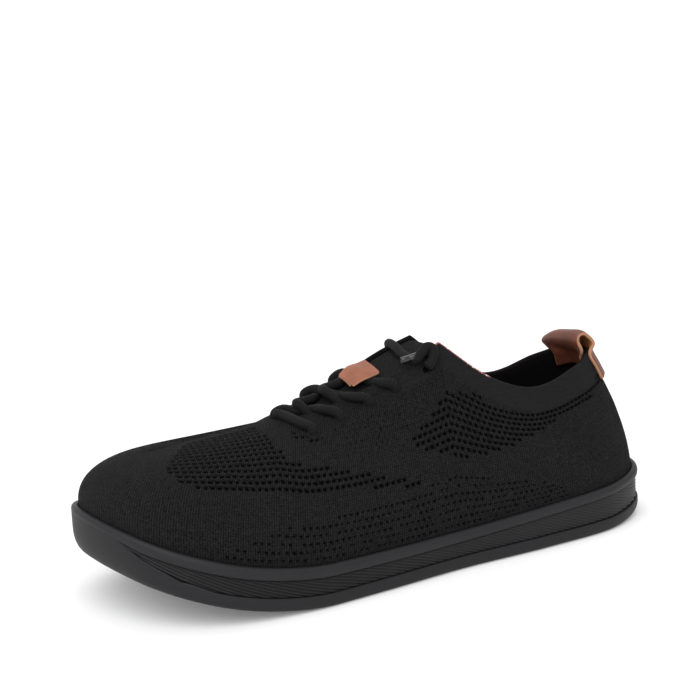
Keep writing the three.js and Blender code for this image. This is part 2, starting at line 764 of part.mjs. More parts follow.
// Finish and colour of each material
const knit = new THREE.MeshStandardMaterial({ color: 0x1b1b1d, roughness: 0.95, metalness: 0 });
const rubber = new THREE.MeshStandardMaterial({ color: 0x2c2e33, roughness: 0.7, metalness: 0 });
const foam = new THREE.MeshStandardMaterial({ color: 0x303238, roughness: 0.8, metalness: 0 });
const lining = new THREE.MeshStandardMaterial({ color: 0x201d1d, roughness: 0.95, metalness: 0 });
const cordBlack = new THREE.MeshStandardMaterial({ color: 0x19191b, roughness: 0.9, metalness: 0 });
const leather = new THREE.MeshStandardMaterial({ color: 0x8a4a2a, roughness: 0.55, metalness: 0 });
const steel = new THREE.MeshStandardMaterial({ color: 0x8d8f90, roughness: 0.35, metalness: 1 });

function piece(name, geometry, material) {
  const mesh = new THREE.Mesh(geometry, material);
  mesh.name = name;
  return mesh;
}

const shoe = new THREE.Group();
shoe.add(
  piece('outsole', outsoleSolid(), rubber),
  piece('midsole', midsoleSolid(), foam),
  piece('insole', insoleSolid(), lining),
  piece('upper', upperSolid(), knit),
  piece('tongue', tongueSolid(), knit),
  piece('tongue_patch', patchSolid(), leather),
  piece('lace_crossings', laceCrossings(), cordBlack),
  piece('lace_loop', tube(laceLoopPath(), laceDiameter, 22, 8), cordBlack),
  piece('lace_tip', tube(laceTipPath(), agletDiameter, 2, 8), cordBlack),
  piece('aglet', agletSolid(), steel),
  piece('pull_loop', pullLoopSolid(), leather),
);

// The origin is under the middle of the outline, on the ground
const outlineBox = new THREE.Box3().setFromPoints(ringPlaces.map((spot) => spot.point));
const middle = outlineBox.getCenter(new THREE.Vector3());
shoe.position.set(-middle.x, -middle.y, 0);

export default shoe;
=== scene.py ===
"""Left barefoot shoe with a knitted upper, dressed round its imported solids."""
import json
import math

import bpy
import numpy as np
from mathutils import Matrix, Vector

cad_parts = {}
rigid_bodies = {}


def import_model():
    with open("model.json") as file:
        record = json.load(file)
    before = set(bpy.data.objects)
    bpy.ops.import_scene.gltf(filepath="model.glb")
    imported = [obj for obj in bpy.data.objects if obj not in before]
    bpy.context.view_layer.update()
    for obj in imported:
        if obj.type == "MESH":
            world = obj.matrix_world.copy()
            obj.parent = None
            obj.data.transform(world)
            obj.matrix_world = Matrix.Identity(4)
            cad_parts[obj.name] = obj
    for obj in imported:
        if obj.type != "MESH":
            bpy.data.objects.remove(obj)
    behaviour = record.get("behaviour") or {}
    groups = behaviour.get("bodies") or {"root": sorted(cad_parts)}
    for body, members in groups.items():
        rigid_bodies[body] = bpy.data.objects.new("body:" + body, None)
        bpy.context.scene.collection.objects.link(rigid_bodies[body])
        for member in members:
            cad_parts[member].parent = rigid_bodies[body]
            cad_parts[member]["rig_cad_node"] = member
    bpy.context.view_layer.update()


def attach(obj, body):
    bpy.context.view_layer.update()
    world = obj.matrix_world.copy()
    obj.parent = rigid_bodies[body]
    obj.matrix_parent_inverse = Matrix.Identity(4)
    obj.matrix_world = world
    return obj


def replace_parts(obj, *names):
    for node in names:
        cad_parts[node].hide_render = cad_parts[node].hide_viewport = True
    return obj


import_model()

# Sizes of the last and the sole in millimetres, as in the solids
MM = 0.001
SOLE_LENGTH = 284.0
BALL_WIDTH = 103.0
SIDE_HEIGHT = 19.6
TOE_SPRING = 25.8
SPRING_START = 0.66
HEEL_LIFT = 3.6
HEEL_LIFT_END = 0.12
GAP = 0.3
LUG_DEPTH = 2.2
WEB = 2.3
CUSHION = 3.0
FOOTBED = LUG_DEPTH + WEB + GAP + CUSHION
LOWER_BAND = 6.4
EDGE_ROUND = 3.2
TOE_EDGE_ROUND = 6.5
BORDER = 7.0
BAND_LIP = 1.6
BAND_GROOVE = 1.4
RIM_BAND = 5.6
RIM_WALL = 3.0
PANEL_INSET = 0.9
INSOLE = 3.0
KNIT_WALL = 2.0
INSTEP = 98.6
VAMP = 69.2
COLLAR_BAND = 11.6
COLLAR_STEP = 0.6
COLLAR_END = 4.0
THROAT_END = 6.25
TOE = 9.0
HOLE_INSET = 7.0
LACE = 4.4
LACE_STATIONS = (6, 5.45, 5, 4.62, 4.2)

SOLE_ROWS = dict(
    at=(0, 1, 2, 3, 4, 5, 6, 7, 8, 9),
    along=(0, 0.02, 0.1, 0.25, 0.42, 0.58, 0.72, 0.85, 0.945, 1),
    lateral=(0, 0.156, 0.304, 0.377, 0.419, 0.493, 0.542, 0.513, 0.347, -0.085),
    medial=(0, 0.174, 0.336, 0.363, 0.33, 0.373, 0.459, 0.457, 0.387, 0.085),
    side=(1.1, 1.1, 1.12, 1.03, 0.92, 0.94, 0.985, 1, 0.975, 0.94),
)
COLLAR_ROWS = dict(
    at=(0, 1, 2, 3, 3.5, 4),
    along=(0.095, 0.104, 0.15, 0.25, 0.325, 0.397),
    lateral=(0, 0.09, 0.175, 0.204, 0.19, 0.12),
    medial=(0, 0.09, 0.18, 0.21, 0.19, 0.16),
    outer_up=(0.852, 0.847, 0.797, 0.742, 0.83, 1),
    inner_up=(0.852, 0.847, 0.797, 0.735, 0.82, 0.985),
)
THROAT_ROWS = dict(
    at=(4, 4.5, 5, 5.5, 6, 6.25),
    along=(0.397, 0.46, 0.53, 0.585, 0.632, 0.652),
    lateral=(0.12, 0.103, 0.085, 0.06, 0.018, -0.038),
    medial=(0.16, 0.145, 0.13, 0.118, 0.088, 0.038),
    outer_up=(1, 0.9, 0.825, 0.772, 0.733, 0.722),
    inner_up=(0.985, 0.935, 0.855, 0.79, 0.742, 0.722),
)
CREST_ROWS = dict(
    at=(6.25, 7, 8, 9),
    along=(0.652, 0.73, 0.82, 0.872),
    lateral=(-0.038, -0.044, -0.054, -0.063),
    medial=(0.038, 0.044, 0.054, 0.063),
    outer_up=(0.722 * INSTEP / VAMP, 0.993, 0.958, 0.932),
    inner_up=(0.722 * INSTEP / VAMP, 0.993, 0.958, 0.932),
)
BOW_ROWS = dict(
    at=(0, 2, 3, 4, 5, 6, 7, 8, 9),
    rise=(0.33, 0.36, 0.4, 0.34, 0.42, 0.5, 0.56, 0.64, 0.67),
    bulge=(-0.0175, -0.008, 0.006, 0.008, 0.01, 0.0135, 0.0155, 0.0115, 0.006),
    reach=(0.47, 0.48, 0.5, 0.54, 0.52, 0.52, 0.56, 0.6, 0.62),
    drop=(0.32, 0.34, 0.36, 0.36, 0.22, 0.1, 0.04, 0.02, 0),
)

# Zones of the knit on each side, by station: lowest and highest share of the wall's height
VAMP_MESH = dict(
    at=(4.45, 4.75, 5, 5.5, 6, 6.25, 6.5, 6.75, 7, 7.5, 7.9),
    low=(0.31, 0.33, 0.365, 0.4, 0.39, 0.385, 0.385, 0.38, 0.38, 0.42, 0.55),
    high=(0.33, 0.39, 0.445, 0.52, 0.58, 0.66, 0.82, 1, 1.02, 1.02, 0.95),
)
QUARTER_MESH = dict(
    at=(0.9, 1.5, 2, 2.5, 2.75, 3, 3.25, 3.5, 3.75, 4, 4.25, 4.5),
    low=(0.81, 0.76, 0.735, 0.72, 0.68, 0.62, 0.55, 0.47, 0.42, 0.4, 0.46, 0.55),
    high=(0.85, 0.825, 0.81, 0.8, 0.795, 0.8, 0.81, 0.82, 0.82, 0.74, 0.65, 0.59),
)
LOW_MESH = dict(
    at=(2.6, 3, 3.5, 4, 4.5, 5, 5.5, 6, 6.4, 6.9),
    low=(0.02, 0.02, 0.02, 0.02, 0.02, 0.02, 0.02, 0.02, 0.02, 0.02),
    high=(0.06, 0.2, 0.27, 0.3, 0.27, 0.25, 0.24, 0.22, 0.16, 0.05),
)
HEEL_MESH = dict(at=(0.5, 1, 1.5, 2, 2.35), low=(0.3, 0.12, 0.08, 0.12, 0.3), high=(0.4, 0.7, 0.74, 0.6, 0.35))
STAY_MESH = dict(at=(4.3, 4.6, 5, 5.4, 5.7), low=(0.68, 0.62, 0.6, 0.64, 0.72), high=(0.72, 0.8, 0.82, 0.8, 0.74))
VAMP_BAR = dict(at=(5.72, 5.9, 6.1), low=(0.71, 0.74, 0.79), high=(0.75, 0.79, 0.84))


def smoothstep(x, low, high):
    t = np.clip((np.asarray(x, float) - low) / (high - low), 0, 1)
    return t * t * (3 - 2 * t)


def mix(a, b, t):
    return a + (b - a) * t


def column(rows, name, at):
    """Smooth value of one column of a table at stations."""
    x, y = np.array(rows["at"], float), np.array(rows[name], float)
    at = np.asarray(at, float)
    slope = np.diff(y) / np.diff(x)
    tangent = np.concatenate([slope[:1], (slope[1:] + slope[:-1]) / 2, slope[-1:]])
    i = np.clip(np.searchsorted(x, at, "right") - 1, 0, len(x) - 2)
    width = x[i + 1] - x[i]
    t = (at - x[i]) / width
    start = y[i] * (1 + 2 * t) * (1 - t) ** 2 + tangent[i] * width * t * (1 - t) ** 2
    return start + y[i + 1] * t * t * (3 - 2 * t) + tangent[i + 1] * width * t * t * (t - 1)


def control_points():
    lateral = [(a * SOLE_LENGTH, b * BALL_WIDTH) for a, b in zip(SOLE_ROWS["along"], SOLE_ROWS["lateral"])]
    medial = [(a * SOLE_LENGTH, -b * BALL_WIDTH) for a, b in zip(SOLE_ROWS["along"], SOLE_ROWS["medial"])]
    return np.array(lateral + medial[1:-1][::-1])


CONTROL = control_points()


def outline(t):
    """Closed centripetal curve through the outline's points."""
    count = len(CONTROL)
    place = (np.asarray(t, float) % 1) * count
    i = np.floor(place).astype(int)
    w = (place - i)[..., None]
    p0, p1, p2, p3 = (CONTROL[(i + k) % count] for k in (-1, 0, 1, 2))
    d0, d1, d2 = (
        np.sqrt(np.linalg.norm(b - a, axis=-1, keepdims=True)) for a, b in ((p0, p1), (p1, p2), (p2, p3))
    )
    t1 = ((p1 - p0) / d0 - (p2 - p0) / (d0 + d1) + (p2 - p1) / d1) * d1
    t2 = ((p2 - p1) / d1 - (p3 - p1) / (d1 + d2) + (p3 - p2) / d2) * d1
    return p1 + t1 * w + (-3 * p1 + 3 * p2 - 2 * t1 - t2) * w**2 + (2 * p1 - 2 * p2 + t1 + t2) * w**3


class Places:
    """Places round the shoe: stations, sides, points on the outline and the ways outward."""

    def __init__(self, stations, sides):
        self.station = np.asarray(stations, float)
        self.side = np.broadcast_to(np.asarray(sides, float), self.station.shape)
        share = self.station / len(CONTROL)
        t = np.where(self.side > 0, share, 1 - share)
        self.point = outline(t)
        step = 1e-4
        tangent = outline(t + step) - outline(t - step)
        tangent /= np.linalg.norm(tangent, axis=-1, keepdims=True)
        self.outward = np.stack([-tangent[..., 1], tangent[..., 0]], -1)

    def inset(self, depth):
        depth = np.broadcast_to(depth, self.station.shape)
        return self.point - self.outward * depth[..., None]


# The origin is under the middle of the outline
LAP = np.arange(0, TOE + 0.01, 0.25)
OUTLINE_LAP = np.vstack([Places(LAP, 1).point, Places(LAP, -1).point])
MIDDLE = np.append((OUTLINE_LAP.min(0) + OUTLINE_LAP.max(0)) / 2, 0)


def tread_lift(x):
    spring = np.maximum(0, (x / SOLE_LENGTH - SPRING_START) / (1 - SPRING_START)) ** 1.8
    heel = np.maximum(0, (HEEL_LIFT_END - x / SOLE_LENGTH) / HEEL_LIFT_END) ** 2
    return TOE_SPRING * spring + HEEL_LIFT * heel


def side_top(p):
    return tread_lift(p.point[..., 0]) + SIDE_HEIGHT * column(SOLE_ROWS, "side", p.station)


def toe_share(p):
    return smoothstep(p.station, 7.2, 8.7)


def edge_inset(p):
    return mix(EDGE_ROUND, TOE_EDGE_ROUND, toe_share(p))


def band_top(p):
    low = tread_lift(p.point[..., 0]) + LOWER_BAND
    return mix(low, side_top(p) - RIM_BAND - BAND_GROOVE, toe_share(p) ** 2)


def top_point(p):
    """Point of the upper's top line over each place: collar, throat or crest of the vamp."""
    s = p.station
    part = np.where(s <= COLLAR_END, 0, np.where(s <= THROAT_END, 1, 2))[..., None]
    out = np.zeros(s.shape + (3,))
    for k, (rows, unit) in enumerate([(COLLAR_ROWS, INSTEP), (THROAT_ROWS, INSTEP), (CREST_ROWS, VAMP)]):
        across = np.where(p.side > 0, column(rows, "lateral", s), -column(rows, "medial", s)) * BALL_WIDTH
        up = np.where(p.side > 0, column(rows, "outer_up", s), column(rows, "inner_up", s)) * unit
        out = np.where(part == k, np.stack([column(rows, "along", s) * SOLE_LENGTH, across, up], -1), out)
    return out


def wall_curves(p, samples=120):
    """Curve of the upper's outer face from the feather line to the top line at each place."""
    foot = np.concatenate([p.inset(RIM_WALL + GAP), side_top(p)[..., None]], -1)
    top = top_point(p)
    rise = top[..., 2] - foot[..., 2]
    flat = foot - top
    flat[..., 2] = 0
    low = foot.copy()
    low[..., :2] += p.outward * (column(BOW_ROWS, "bulge", p.station) * BALL_WIDTH)[..., None]
    low[..., 2] = foot[..., 2] + rise * column(BOW_ROWS, "rise", p.station)
    high = top + flat * column(BOW_ROWS, "reach", p.station)[..., None]
    high[..., 2] = top[..., 2] - rise * column(BOW_ROWS, "drop", p.station)
    t = np.linspace(0, 1, samples)[:, None]
    foot, low, high, top = (c[..., None, :] for c in (foot, low, high, top))
    return foot * (1 - t) ** 3 + 3 * low * t * (1 - t) ** 2 + 3 * high * t * t * (1 - t) + top * t**3


def run_of(curves):
    step = np.linalg.norm(np.diff(curves, axis=-2), axis=-1)
    return np.concatenate([np.zeros(step.shape[:-1] + (1,)), np.cumsum(step, -1)], -1)


def at_shares(curves, shares):
    """Points at shares of the length of each curve, and the lengths."""
    run = run_of(curves)
    out = np.zeros((len(curves), len(shares), 3))
    for k, (line, r) in enumerate(zip(curves, run)):
        for axis in range(3):
            out[k, :, axis] = np.interp(np.asarray(shares) * r[-1], r, line[:, axis])
    return out, run[:, -1]


class Spot:
    """A point on the outer face a distance down from the top line, with its normal, up and along."""

    def __init__(self, station, side, down):
        step = 0.02
        at = np.abs([station - step, station, station + step])
        flip = -1 if station - step < 0 else 1
        curves = wall_curves(Places(at, [side * flip, side, side]), 400)
        points = []
        for line, r in zip(curves, run_of(curves)):
            place = max(0.0, r[-1] - down)
            points.append([np.interp([place, place + 0.05], r, line[:, axis]) for axis in range(3)])
        points = np.array(points)
        self.point = points[1, :, 0]
        up = points[1, :, 1] - points[1, :, 0] if down > 0.1 else curves[1][-1] - curves[1][-3]
        self.up = up / np.linalg.norm(up)
        along = points[2, :, 0] - points[0, :, 0]
        self.along = along / np.linalg.norm(along)
        normal = np.cross(self.along, self.up) * -side
        self.normal = normal / np.linalg.norm(normal)

    def off(self, out, forward=0.0, up=0.0):
        return self.point + self.normal * out + self.along * forward + self.up * up


def make_mesh(name, points, faces, materials, uv=None, layers=None, face_material=None):
    """Mesh object from points in millimetres, that moves with the shoe."""
    mesh = bpy.data.meshes.new(name)
    points = (np.asarray(points, float).reshape(-1, 3) - MIDDLE) * MM
    mesh.from_pydata(points.tolist(), [], [list(map(int, f)) for f in faces])
    mesh.validate()
    mesh.polygons.foreach_set("use_smooth", np.ones(len(mesh.polygons), bool))
    if uv is not None:
        corner = np.zeros(len(mesh.loops), np.int32)
        mesh.loops.foreach_get("vertex_index", corner)
        layer = mesh.uv_layers.new(name="knit")
        layer.data.foreach_set("uv", np.asarray(uv, np.float32).reshape(-1, 2)[corner].ravel())
    for key, values in (layers or {}).items():
        attribute = mesh.attributes.new(key, "FLOAT", "POINT")
        attribute.data.foreach_set("value", np.asarray(values, np.float32).ravel())
    for material in materials:
        mesh.materials.append(material)
    if face_material is not None:
        mesh.polygons.foreach_set("material_index", np.asarray(face_material, np.int32))
    piece = bpy.data.objects.new(name, mesh)
    bpy.context.scene.collection.objects.link(piece)
    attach(piece, "root")
    return piece


def grid_faces(rows, columns, close_rows=False, close_columns=False, flip=False):
    """Faces of a grid of points that is stored row after row."""
    i = np.arange(rows if close_rows else rows - 1)
    j = np.arange(columns if close_columns else columns - 1)
    i, j = np.meshgrid(i, j, indexing="ij")
    i2, j2 = (i + 1) % rows, (j + 1) % columns
    faces = np.stack([i * columns + j, i2 * columns + j, i2 * columns + j2, i * columns + j2], -1)
    faces = faces.reshape(-1, 4)
    return faces[:, ::-1] if flip else faces


def face_normals(points, faces):
    diagonal = points[faces[:, 2]] - points[faces[:, 0]]
    return np.cross(diagonal, points[faces[:, 3]] - points[faces[:, 1]])


def point_normals(points, faces, shared=None):
    """Normals at points, equal at points that share an index."""
    normals = np.zeros_like(points)
    each = face_normals(points, faces)
    for k in range(4):
        np.add.at(normals, faces[:, k], each)
    if shared is not None:
        total = np.zeros_like(points)
        np.add.at(total, shared, normals)
        normals = total[shared]
    return normals / np.maximum(np.linalg.norm(normals, axis=1, keepdims=True), 1e-9)


# Materials
def new_material(name):
    material = bpy.data.materials.new(name)
    material.use_nodes = True
    tree = material.node_tree
    return material, tree, tree.nodes["Principled BSDF"]


def add(tree, kind, inputs=None, **settings):
    node = tree.nodes.new(kind)
    for key, value in settings.items():
        setattr(node, key, value)
    for key, value in (inputs or {}).items():
        socket = node.inputs[key]
        if isinstance(value, bpy.types.NodeSocket):
            tree.links.new(value, socket)
        else:
            socket.default_value = value
    return node


def math_node(tree, operation, a, b=0.0, clamp=False):
    return add(tree, "ShaderNodeMath", {0: a, 1: b}, operation=operation, use_clamp=clamp).outputs[0]


def blend_colour(tree, share, a, b):
    node = add(tree, "ShaderNodeMix", data_type="RGBA")
    for socket, value in ((node.inputs[0], share), (node.inputs[6], a), (node.inputs[7], b)):
        if isinstance(value, bpy.types.NodeSocket):
            tree.links.new(value, socket)
        else:
            socket.default_value = value
    return node.outputs[2]


def noise(tree, where, scale, detail=3.0, rough=0.55):
    inputs = {"Vector": where, "Scale": scale, "Detail": detail, "Roughness": rough}
    return add(tree, "ShaderNodeTexNoise", inputs).outputs["Fac"]


def ramp(tree, value, low, high):
    inputs = {"Value": value, "From Min": low, "From Max": high}
    return add(tree, "ShaderNodeMapRange", inputs, clamp=True).outputs[0]


def bump(tree, height, strength, distance, normal=None):
    inputs = {"Height": height, "Strength": strength, "Distance": distance}
    if normal is not None:
        inputs["Normal"] = normal
    return add(tree, "ShaderNodeBump", inputs).outputs[0]


def grey(value, red=1.0, green=1.0, blue=1.0):
    return (value * red, value * green, value * blue, 1)


def stitches(tree, uv, wale, course):
    """Height of knitted stitches: slanted legs in columns, from a map in millimetres."""
    split = add(tree, "ShaderNodeSeparateXYZ", {0: uv})
    u = math_node(tree, "DIVIDE", split.outputs[0], wale)
    v = math_node(tree, "DIVIDE", split.outputs[1], course)
    leg = math_node(tree, "ABSOLUTE", math_node(tree, "SINE", math_node(tree, "MULTIPLY", u, math.pi)))
    slant = math_node(tree, "PINGPONG", u, 0.5)
    row = math_node(tree, "ADD", v, math_node(tree, "MULTIPLY", slant, 1.4))
    loop = math_node(tree, "SINE", math_node(tree, "MULTIPLY", row, 2 * math.pi))
    loop = math_node(tree, "MULTIPLY_ADD", loop, 0.5)
    return math_node(tree, "MULTIPLY", leg, math_node(tree, "ADD", loop, 0.7))


def knit_material():
    material, tree, shader = new_material("knit_black")
    uv = add(tree, "ShaderNodeUVMap", uv_map="knit").outputs[0]
    hole = add(tree, "ShaderNodeAttribute", attribute_name="hole").outputs["Fac"]
    band = add(tree, "ShaderNodeAttribute", attribute_name="band").outputs["Fac"]
    place = add(tree, "ShaderNodeTexCoord").outputs["Object"]
    stitch = stitches(tree, uv, 1.05, 1.25)
    fine = stitches(tree, uv, 0.9, 2.6)
    height = add(tree, "ShaderNodeMix", {0: band, 2: stitch, 3: fine}).outputs[0]
    fibre = noise(tree, place, 1500.0, 4.0, 0.7)
    mottle = noise(tree, place, 60.0, 4.0, 0.6)
    grain = noise(tree, place, 950.0, 2.0, 0.5)
    tone = math_node(tree, "ADD", math_node(tree, "MULTIPLY", height, 0.3), math_node(tree, "MULTIPLY", fibre, 0.5))
    tone = math_node(tree, "ADD", tone, math_node(tree, "MULTIPLY", grain, 0.9))
    tone = ramp(tree, tone, 0.64, 1.22)
    base = blend_colour(tree, tone, grey(0.0014), grey(0.0205, 1.0, 1.0, 1.01))
    base = blend_colour(tree, math_node(tree, "MULTIPLY", mottle, 0.35), base, grey(0.0062))
    base = blend_colour(tree, math_node(tree, "MULTIPLY", band, 0.7), base, grey(0.0145, 1.0, 0.98, 1.0))
    # Painted shade: the mesh holes are only dents in the wall, so the hole layer darkens them to near black as the
    # shade inside them.
    dark = ramp(tree, hole, 0.3, 0.65)
    base = blend_colour(tree, dark, base, grey(0.0003))
    tree.links.new(base, shader.inputs["Base Color"])
    total = math_node(tree, "ADD", height, math_node(tree, "MULTIPLY", fibre, 0.6))
    tree.links.new(bump(tree, total, 0.8, 0.00028), shader.inputs["Normal"])
    shader.inputs["Roughness"].default_value = 0.9
    shader.inputs["Specular IOR Level"].default_value = 0.06
    shader.inputs["Sheen Weight"].default_value = 0.012
    shader.inputs["Sheen Roughness"].default_value = 0.5
    return material


def lining_material():
    material, tree, shader = new_material("lining")
    place = add(tree, "ShaderNodeTexCoord").outputs["Object"]
    trim = add(tree, "ShaderNodeAttribute", attribute_name="trim").outputs["Fac"]
    cells = add(tree, "ShaderNodeTexVoronoi", {"Vector": place, "Scale": 700.0}).outputs["Distance"]
    dots = ramp(tree, cells, 0.34, 0.2)
    fibre = noise(tree, place, 1300.0)
    rose = blend_colour(tree, fibre, (0.17, 0.055, 0.045, 1), (0.3, 0.11, 0.09, 1))
    rose = blend_colour(tree, dots, rose, (0.75, 0.66, 0.62, 1))
    dark = blend_colour(tree, fibre, grey(0.003, 1.1), grey(0.009, 1.15))
    tree.links.new(blend_colour(tree, ramp(tree, trim, 0.4, 0.6), dark, rose), shader.inputs["Base Color"])
    tree.links.new(bump(tree, fibre, 0.6, 0.0003), shader.inputs["Normal"])
    shader.inputs["Roughness"].default_value = 0.95
    shader.inputs["Specular IOR Level"].default_value = 0.05
    return material


def rubber_material(name, low, high, roughness, grain):
    material, tree, shader = new_material(name)
    place = add(tree, "ShaderNodeTexCoord").outputs["Object"]
    cloud = noise(tree, place, 45.0, 4.0, 0.6)
    speck = noise(tree, place, grain, 2.0, 0.5)
    # Painted shade: a per-vertex layer darkens the ribbed panel's rib troughs and the crease under the rim towards
    # near black.
    deep = add(tree, "ShaderNodeAttribute", attribute_name="groove_shade").outputs["Fac"]
    tint = blend_colour(tree, cloud, low, high)
    tint = blend_colour(tree, math_node(tree, "MULTIPLY", deep, 0.8), tint, grey(0.002))
    tree.links.new(tint, shader.inputs["Base Color"])
    rough = math_node(tree, "ADD", math_node(tree, "MULTIPLY", cloud, 0.12), roughness)
    tree.links.new(rough, shader.inputs["Roughness"])
    tree.links.new(bump(tree, speck, 0.25, 0.00008), shader.inputs["Normal"])
    shader.inputs["Specular IOR Level"].default_value = 0.2
    return material


def leather_material(name, low, high, roughness, wear):
    material, tree, shader = new_material(name)
    place = add(tree, "ShaderNodeTexCoord").outputs["Object"]
    cloud = noise(tree, place, 90.0, 5.0, 0.65)
    grain = add(tree, "ShaderNodeTexVoronoi", {"Vector": place, "Scale": 1500.0}).outputs["Distance"]
    pores = noise(tree, place, 900.0, 3.0, 0.6)
    tint = blend_colour(tree, ramp(tree, cloud, 0.3, 0.72), low, high)
    tint = blend_colour(tree, math_node(tree, "MULTIPLY", ramp(tree, pores, 0.55, 0.75), wear), tint, grey(0.1, 1.6, 0.8, 0.4))
    tree.links.new(tint, shader.inputs["Base Color"])
    height = math_node(tree, "ADD", grain, math_node(tree, "MULTIPLY", pores, 0.7))
    tree.links.new(bump(tree, height, 0.35, 0.00012), shader.inputs["Normal"])
    rough = math_node(tree, "ADD", math_node(tree, "MULTIPLY", cloud, 0.2), roughness)
    tree.links.new(rough, shader.inputs["Roughness"])
    shader.inputs["Coat Weight"].default_value = 0.06
    shader.inputs["Coat Roughness"].default_value = 0.4
    return material


def lace_material():
    """Round braid: two sets of yarns that cross, from a map along and round the lace."""
    material, tree, shader = new_material("lace_braid")
    uv = add(tree, "ShaderNodeUVMap", uv_map="knit").outputs[0]
    place = add(tree, "ShaderNodeTexCoord").outputs["Object"]
    split = add(tree, "ShaderNodeSeparateXYZ", {0: uv})
    along = math_node(tree, "MULTIPLY", split.outputs[0], 2 * math.pi / 2.2)
    around = math_node(tree, "MULTIPLY", split.outputs[1], 2 * math.pi * 8)
    one = math_node(tree, "SINE", math_node(tree, "ADD", along, around))
    two = math_node(tree, "SINE", math_node(tree, "SUBTRACT", along, around))
    weave = ramp(tree, math_node(tree, "MULTIPLY", one, two), -1.0, 1.0)
    fibre = noise(tree, place, 2200.0, 3.0, 0.6)
    tone = math_node(tree, "ADD", math_node(tree, "MULTIPLY", weave, 0.6), math_node(tree, "MULTIPLY", fibre, 0.4))
    base = blend_colour(tree, tone, grey(0.0032), grey(0.0135, 1.0, 0.98, 0.97))
    tree.links.new(base, shader.inputs["Base Color"])
    height = math_node(tree, "ADD", weave, math_node(tree, "MULTIPLY", fibre, 0.5))
    tree.links.new(bump(tree, height, 0.55, 0.00022), shader.inputs["Normal"])
    shader.inputs["Roughness"].default_value = 0.8
    shader.inputs["Specular IOR Level"].default_value = 0.1
    shader.inputs["Sheen Weight"].default_value = 0.015
    return material


def metal_material():
    material, tree, shader = new_material("aglet_satin")
    place = add(tree, "ShaderNodeTexCoord").outputs["Object"]
    streak = noise(tree, place, 700.0, 2.0, 0.5)
    tree.links.new(blend_colour(tree, streak, grey(0.035), grey(0.08)), shader.inputs["Base Color"])
    tree.links.new(ramp(tree, streak, 0.0, 2.2), shader.inputs["Roughness"])
    shader.inputs["Metallic"].default_value = 0.85
    return material


KNIT = knit_material()
LINING = lining_material()
RUBBER = rubber_material("rubber_tread", grey(0.012, 1, 1.0, 1.08), grey(0.017, 1, 1.0, 1.1), 0.5, 2600.0)
TREAD = rubber_material("rubber_lugs", grey(0.009, 1, 1.0, 1.12), grey(0.014, 1, 1.0, 1.15), 0.48, 2600.0)
FOAM = rubber_material("rubber_side", grey(0.014, 1, 1.0, 1.08), grey(0.02, 1, 1.0, 1.1), 0.46, 3200.0)
LEATHER_PATCH = leather_material("leather_patch", (0.19, 0.056, 0.024, 1), (0.3, 0.095, 0.042, 1), 0.5, 0.25)
LEATHER_LOOP = leather_material("leather_loop", (0.085, 0.022, 0.012, 1), (0.16, 0.045, 0.02, 1), 0.45, 0.2)
LEATHER_EDGE = leather_material("leather_edge", (0.27, 0.12, 0.06, 1), (0.42, 0.21, 0.12, 1), 0.6, 0.1)
LEATHER_BACK = leather_material("leather_back", (0.22, 0.075, 0.018, 1), (0.33, 0.125, 0.03, 1), 0.6, 0.3)
BRAID = lace_material()
METAL = metal_material()

# Camera at the photograph's angle, in the solids' frame
EYE = Vector((0.33916, 0.68421, 0.26081))
AIM = Vector((0.01177, 0.0, 0.09956))
ROLL = -0.0420627
LENS = 88.15


def make_camera():
    data = bpy.data.cameras.new("camera")
    data.lens = LENS
    data.sensor_width = 36.0
    data.clip_start = 0.01
    camera = bpy.data.objects.new("camera", data)
    bpy.context.scene.collection.objects.link(camera)
    forward = (AIM - EYE).normalized()
    right = forward.cross(Vector((0, 0, 1))).normalized()
    up = right.cross(forward)
    right, up = right * math.cos(ROLL) + up * math.sin(ROLL), up * math.cos(ROLL) - right * math.sin(ROLL)
    turn = Matrix((right, up, -forward)).transposed().to_4x4()
    camera.matrix_world = Matrix.Translation(EYE) @ turn
    bpy.context.scene.camera = camera


make_camera()


# Upper
SIDE_STEPS = 400
WALL_STEPS = 96
EDGE_STEPS = 5
LINING_STEPS = 12
HOLE_EVERY = 4


def even_stations():
    """Stations evenly far apart along the middle of the wall, with the throat's two ends on the list."""
    coarse = np.linspace(0, TOE, 361)
    run = np.zeros(len(coarse))
    for side in (1, -1):
        points = wall_curves(Places(coarse, side), 41)[:, 16]
        step = np.linalg.norm(np.diff(points, axis=0), axis=1)
        run[1:] += np.cumsum(step) / 2
    stations = np.interp(np.linspace(0, run[-1], SIDE_STEPS + 1), run, coarse)
    for fixed in (COLLAR_END, THROAT_END):
        stations[np.abs(stations - fixed).argmin()] = fixed
    return stations, run[-1]


STATIONS, SIDE_RUN = even_stations()
LAP_STATION = np.concatenate([STATIONS, STATIONS[1:-1][::-1]])
LAP_SIDE = np.concatenate([np.ones(SIDE_STEPS + 1), -np.ones(SIDE_STEPS - 1)])
LAP_PLACES = Places(LAP_STATION, LAP_SIDE)
LAP_COUNT = len(LAP_STATION)
TWIN = np.where(np.arange(LAP_COUNT) <= SIDE_STEPS, np.arange(LAP_COUNT), 2 * SIDE_STEPS - np.arange(LAP_COUNT))


def collar_share(station):
    return 1 - smoothstep(station, COLLAR_END, COLLAR_END + 1)


def in_zone(zone, station, share):
    low, high = column(zone, "low", station), column(zone, "high", station)
    inside = (station >= zone["at"][0]) & (station <= zone["at"][-1])
    return inside & (share >= low) & (share <= high)


def crease(points, start, end, width, depth, normals):
    """Soft trough along a line between two points of the wall."""
    line = end - start
    t = np.clip(((points - start) @ line) / (line @ line), 0, 1)
    away = np.linalg.norm(points - (start + t[..., None] * line), axis=-1)
    ends = smoothstep(t, 0, 0.3) * smoothstep(1 - t, 0, 0.3)
    fade = np.where((t > 0) & (t < 1), ends, 0)
    trough = np.exp(-((away / width) ** 2)) - 0.45 * np.exp(-(((away - 1.9 * width) / width) ** 2))
    return points - normals * (depth * fade * trough)[..., None]


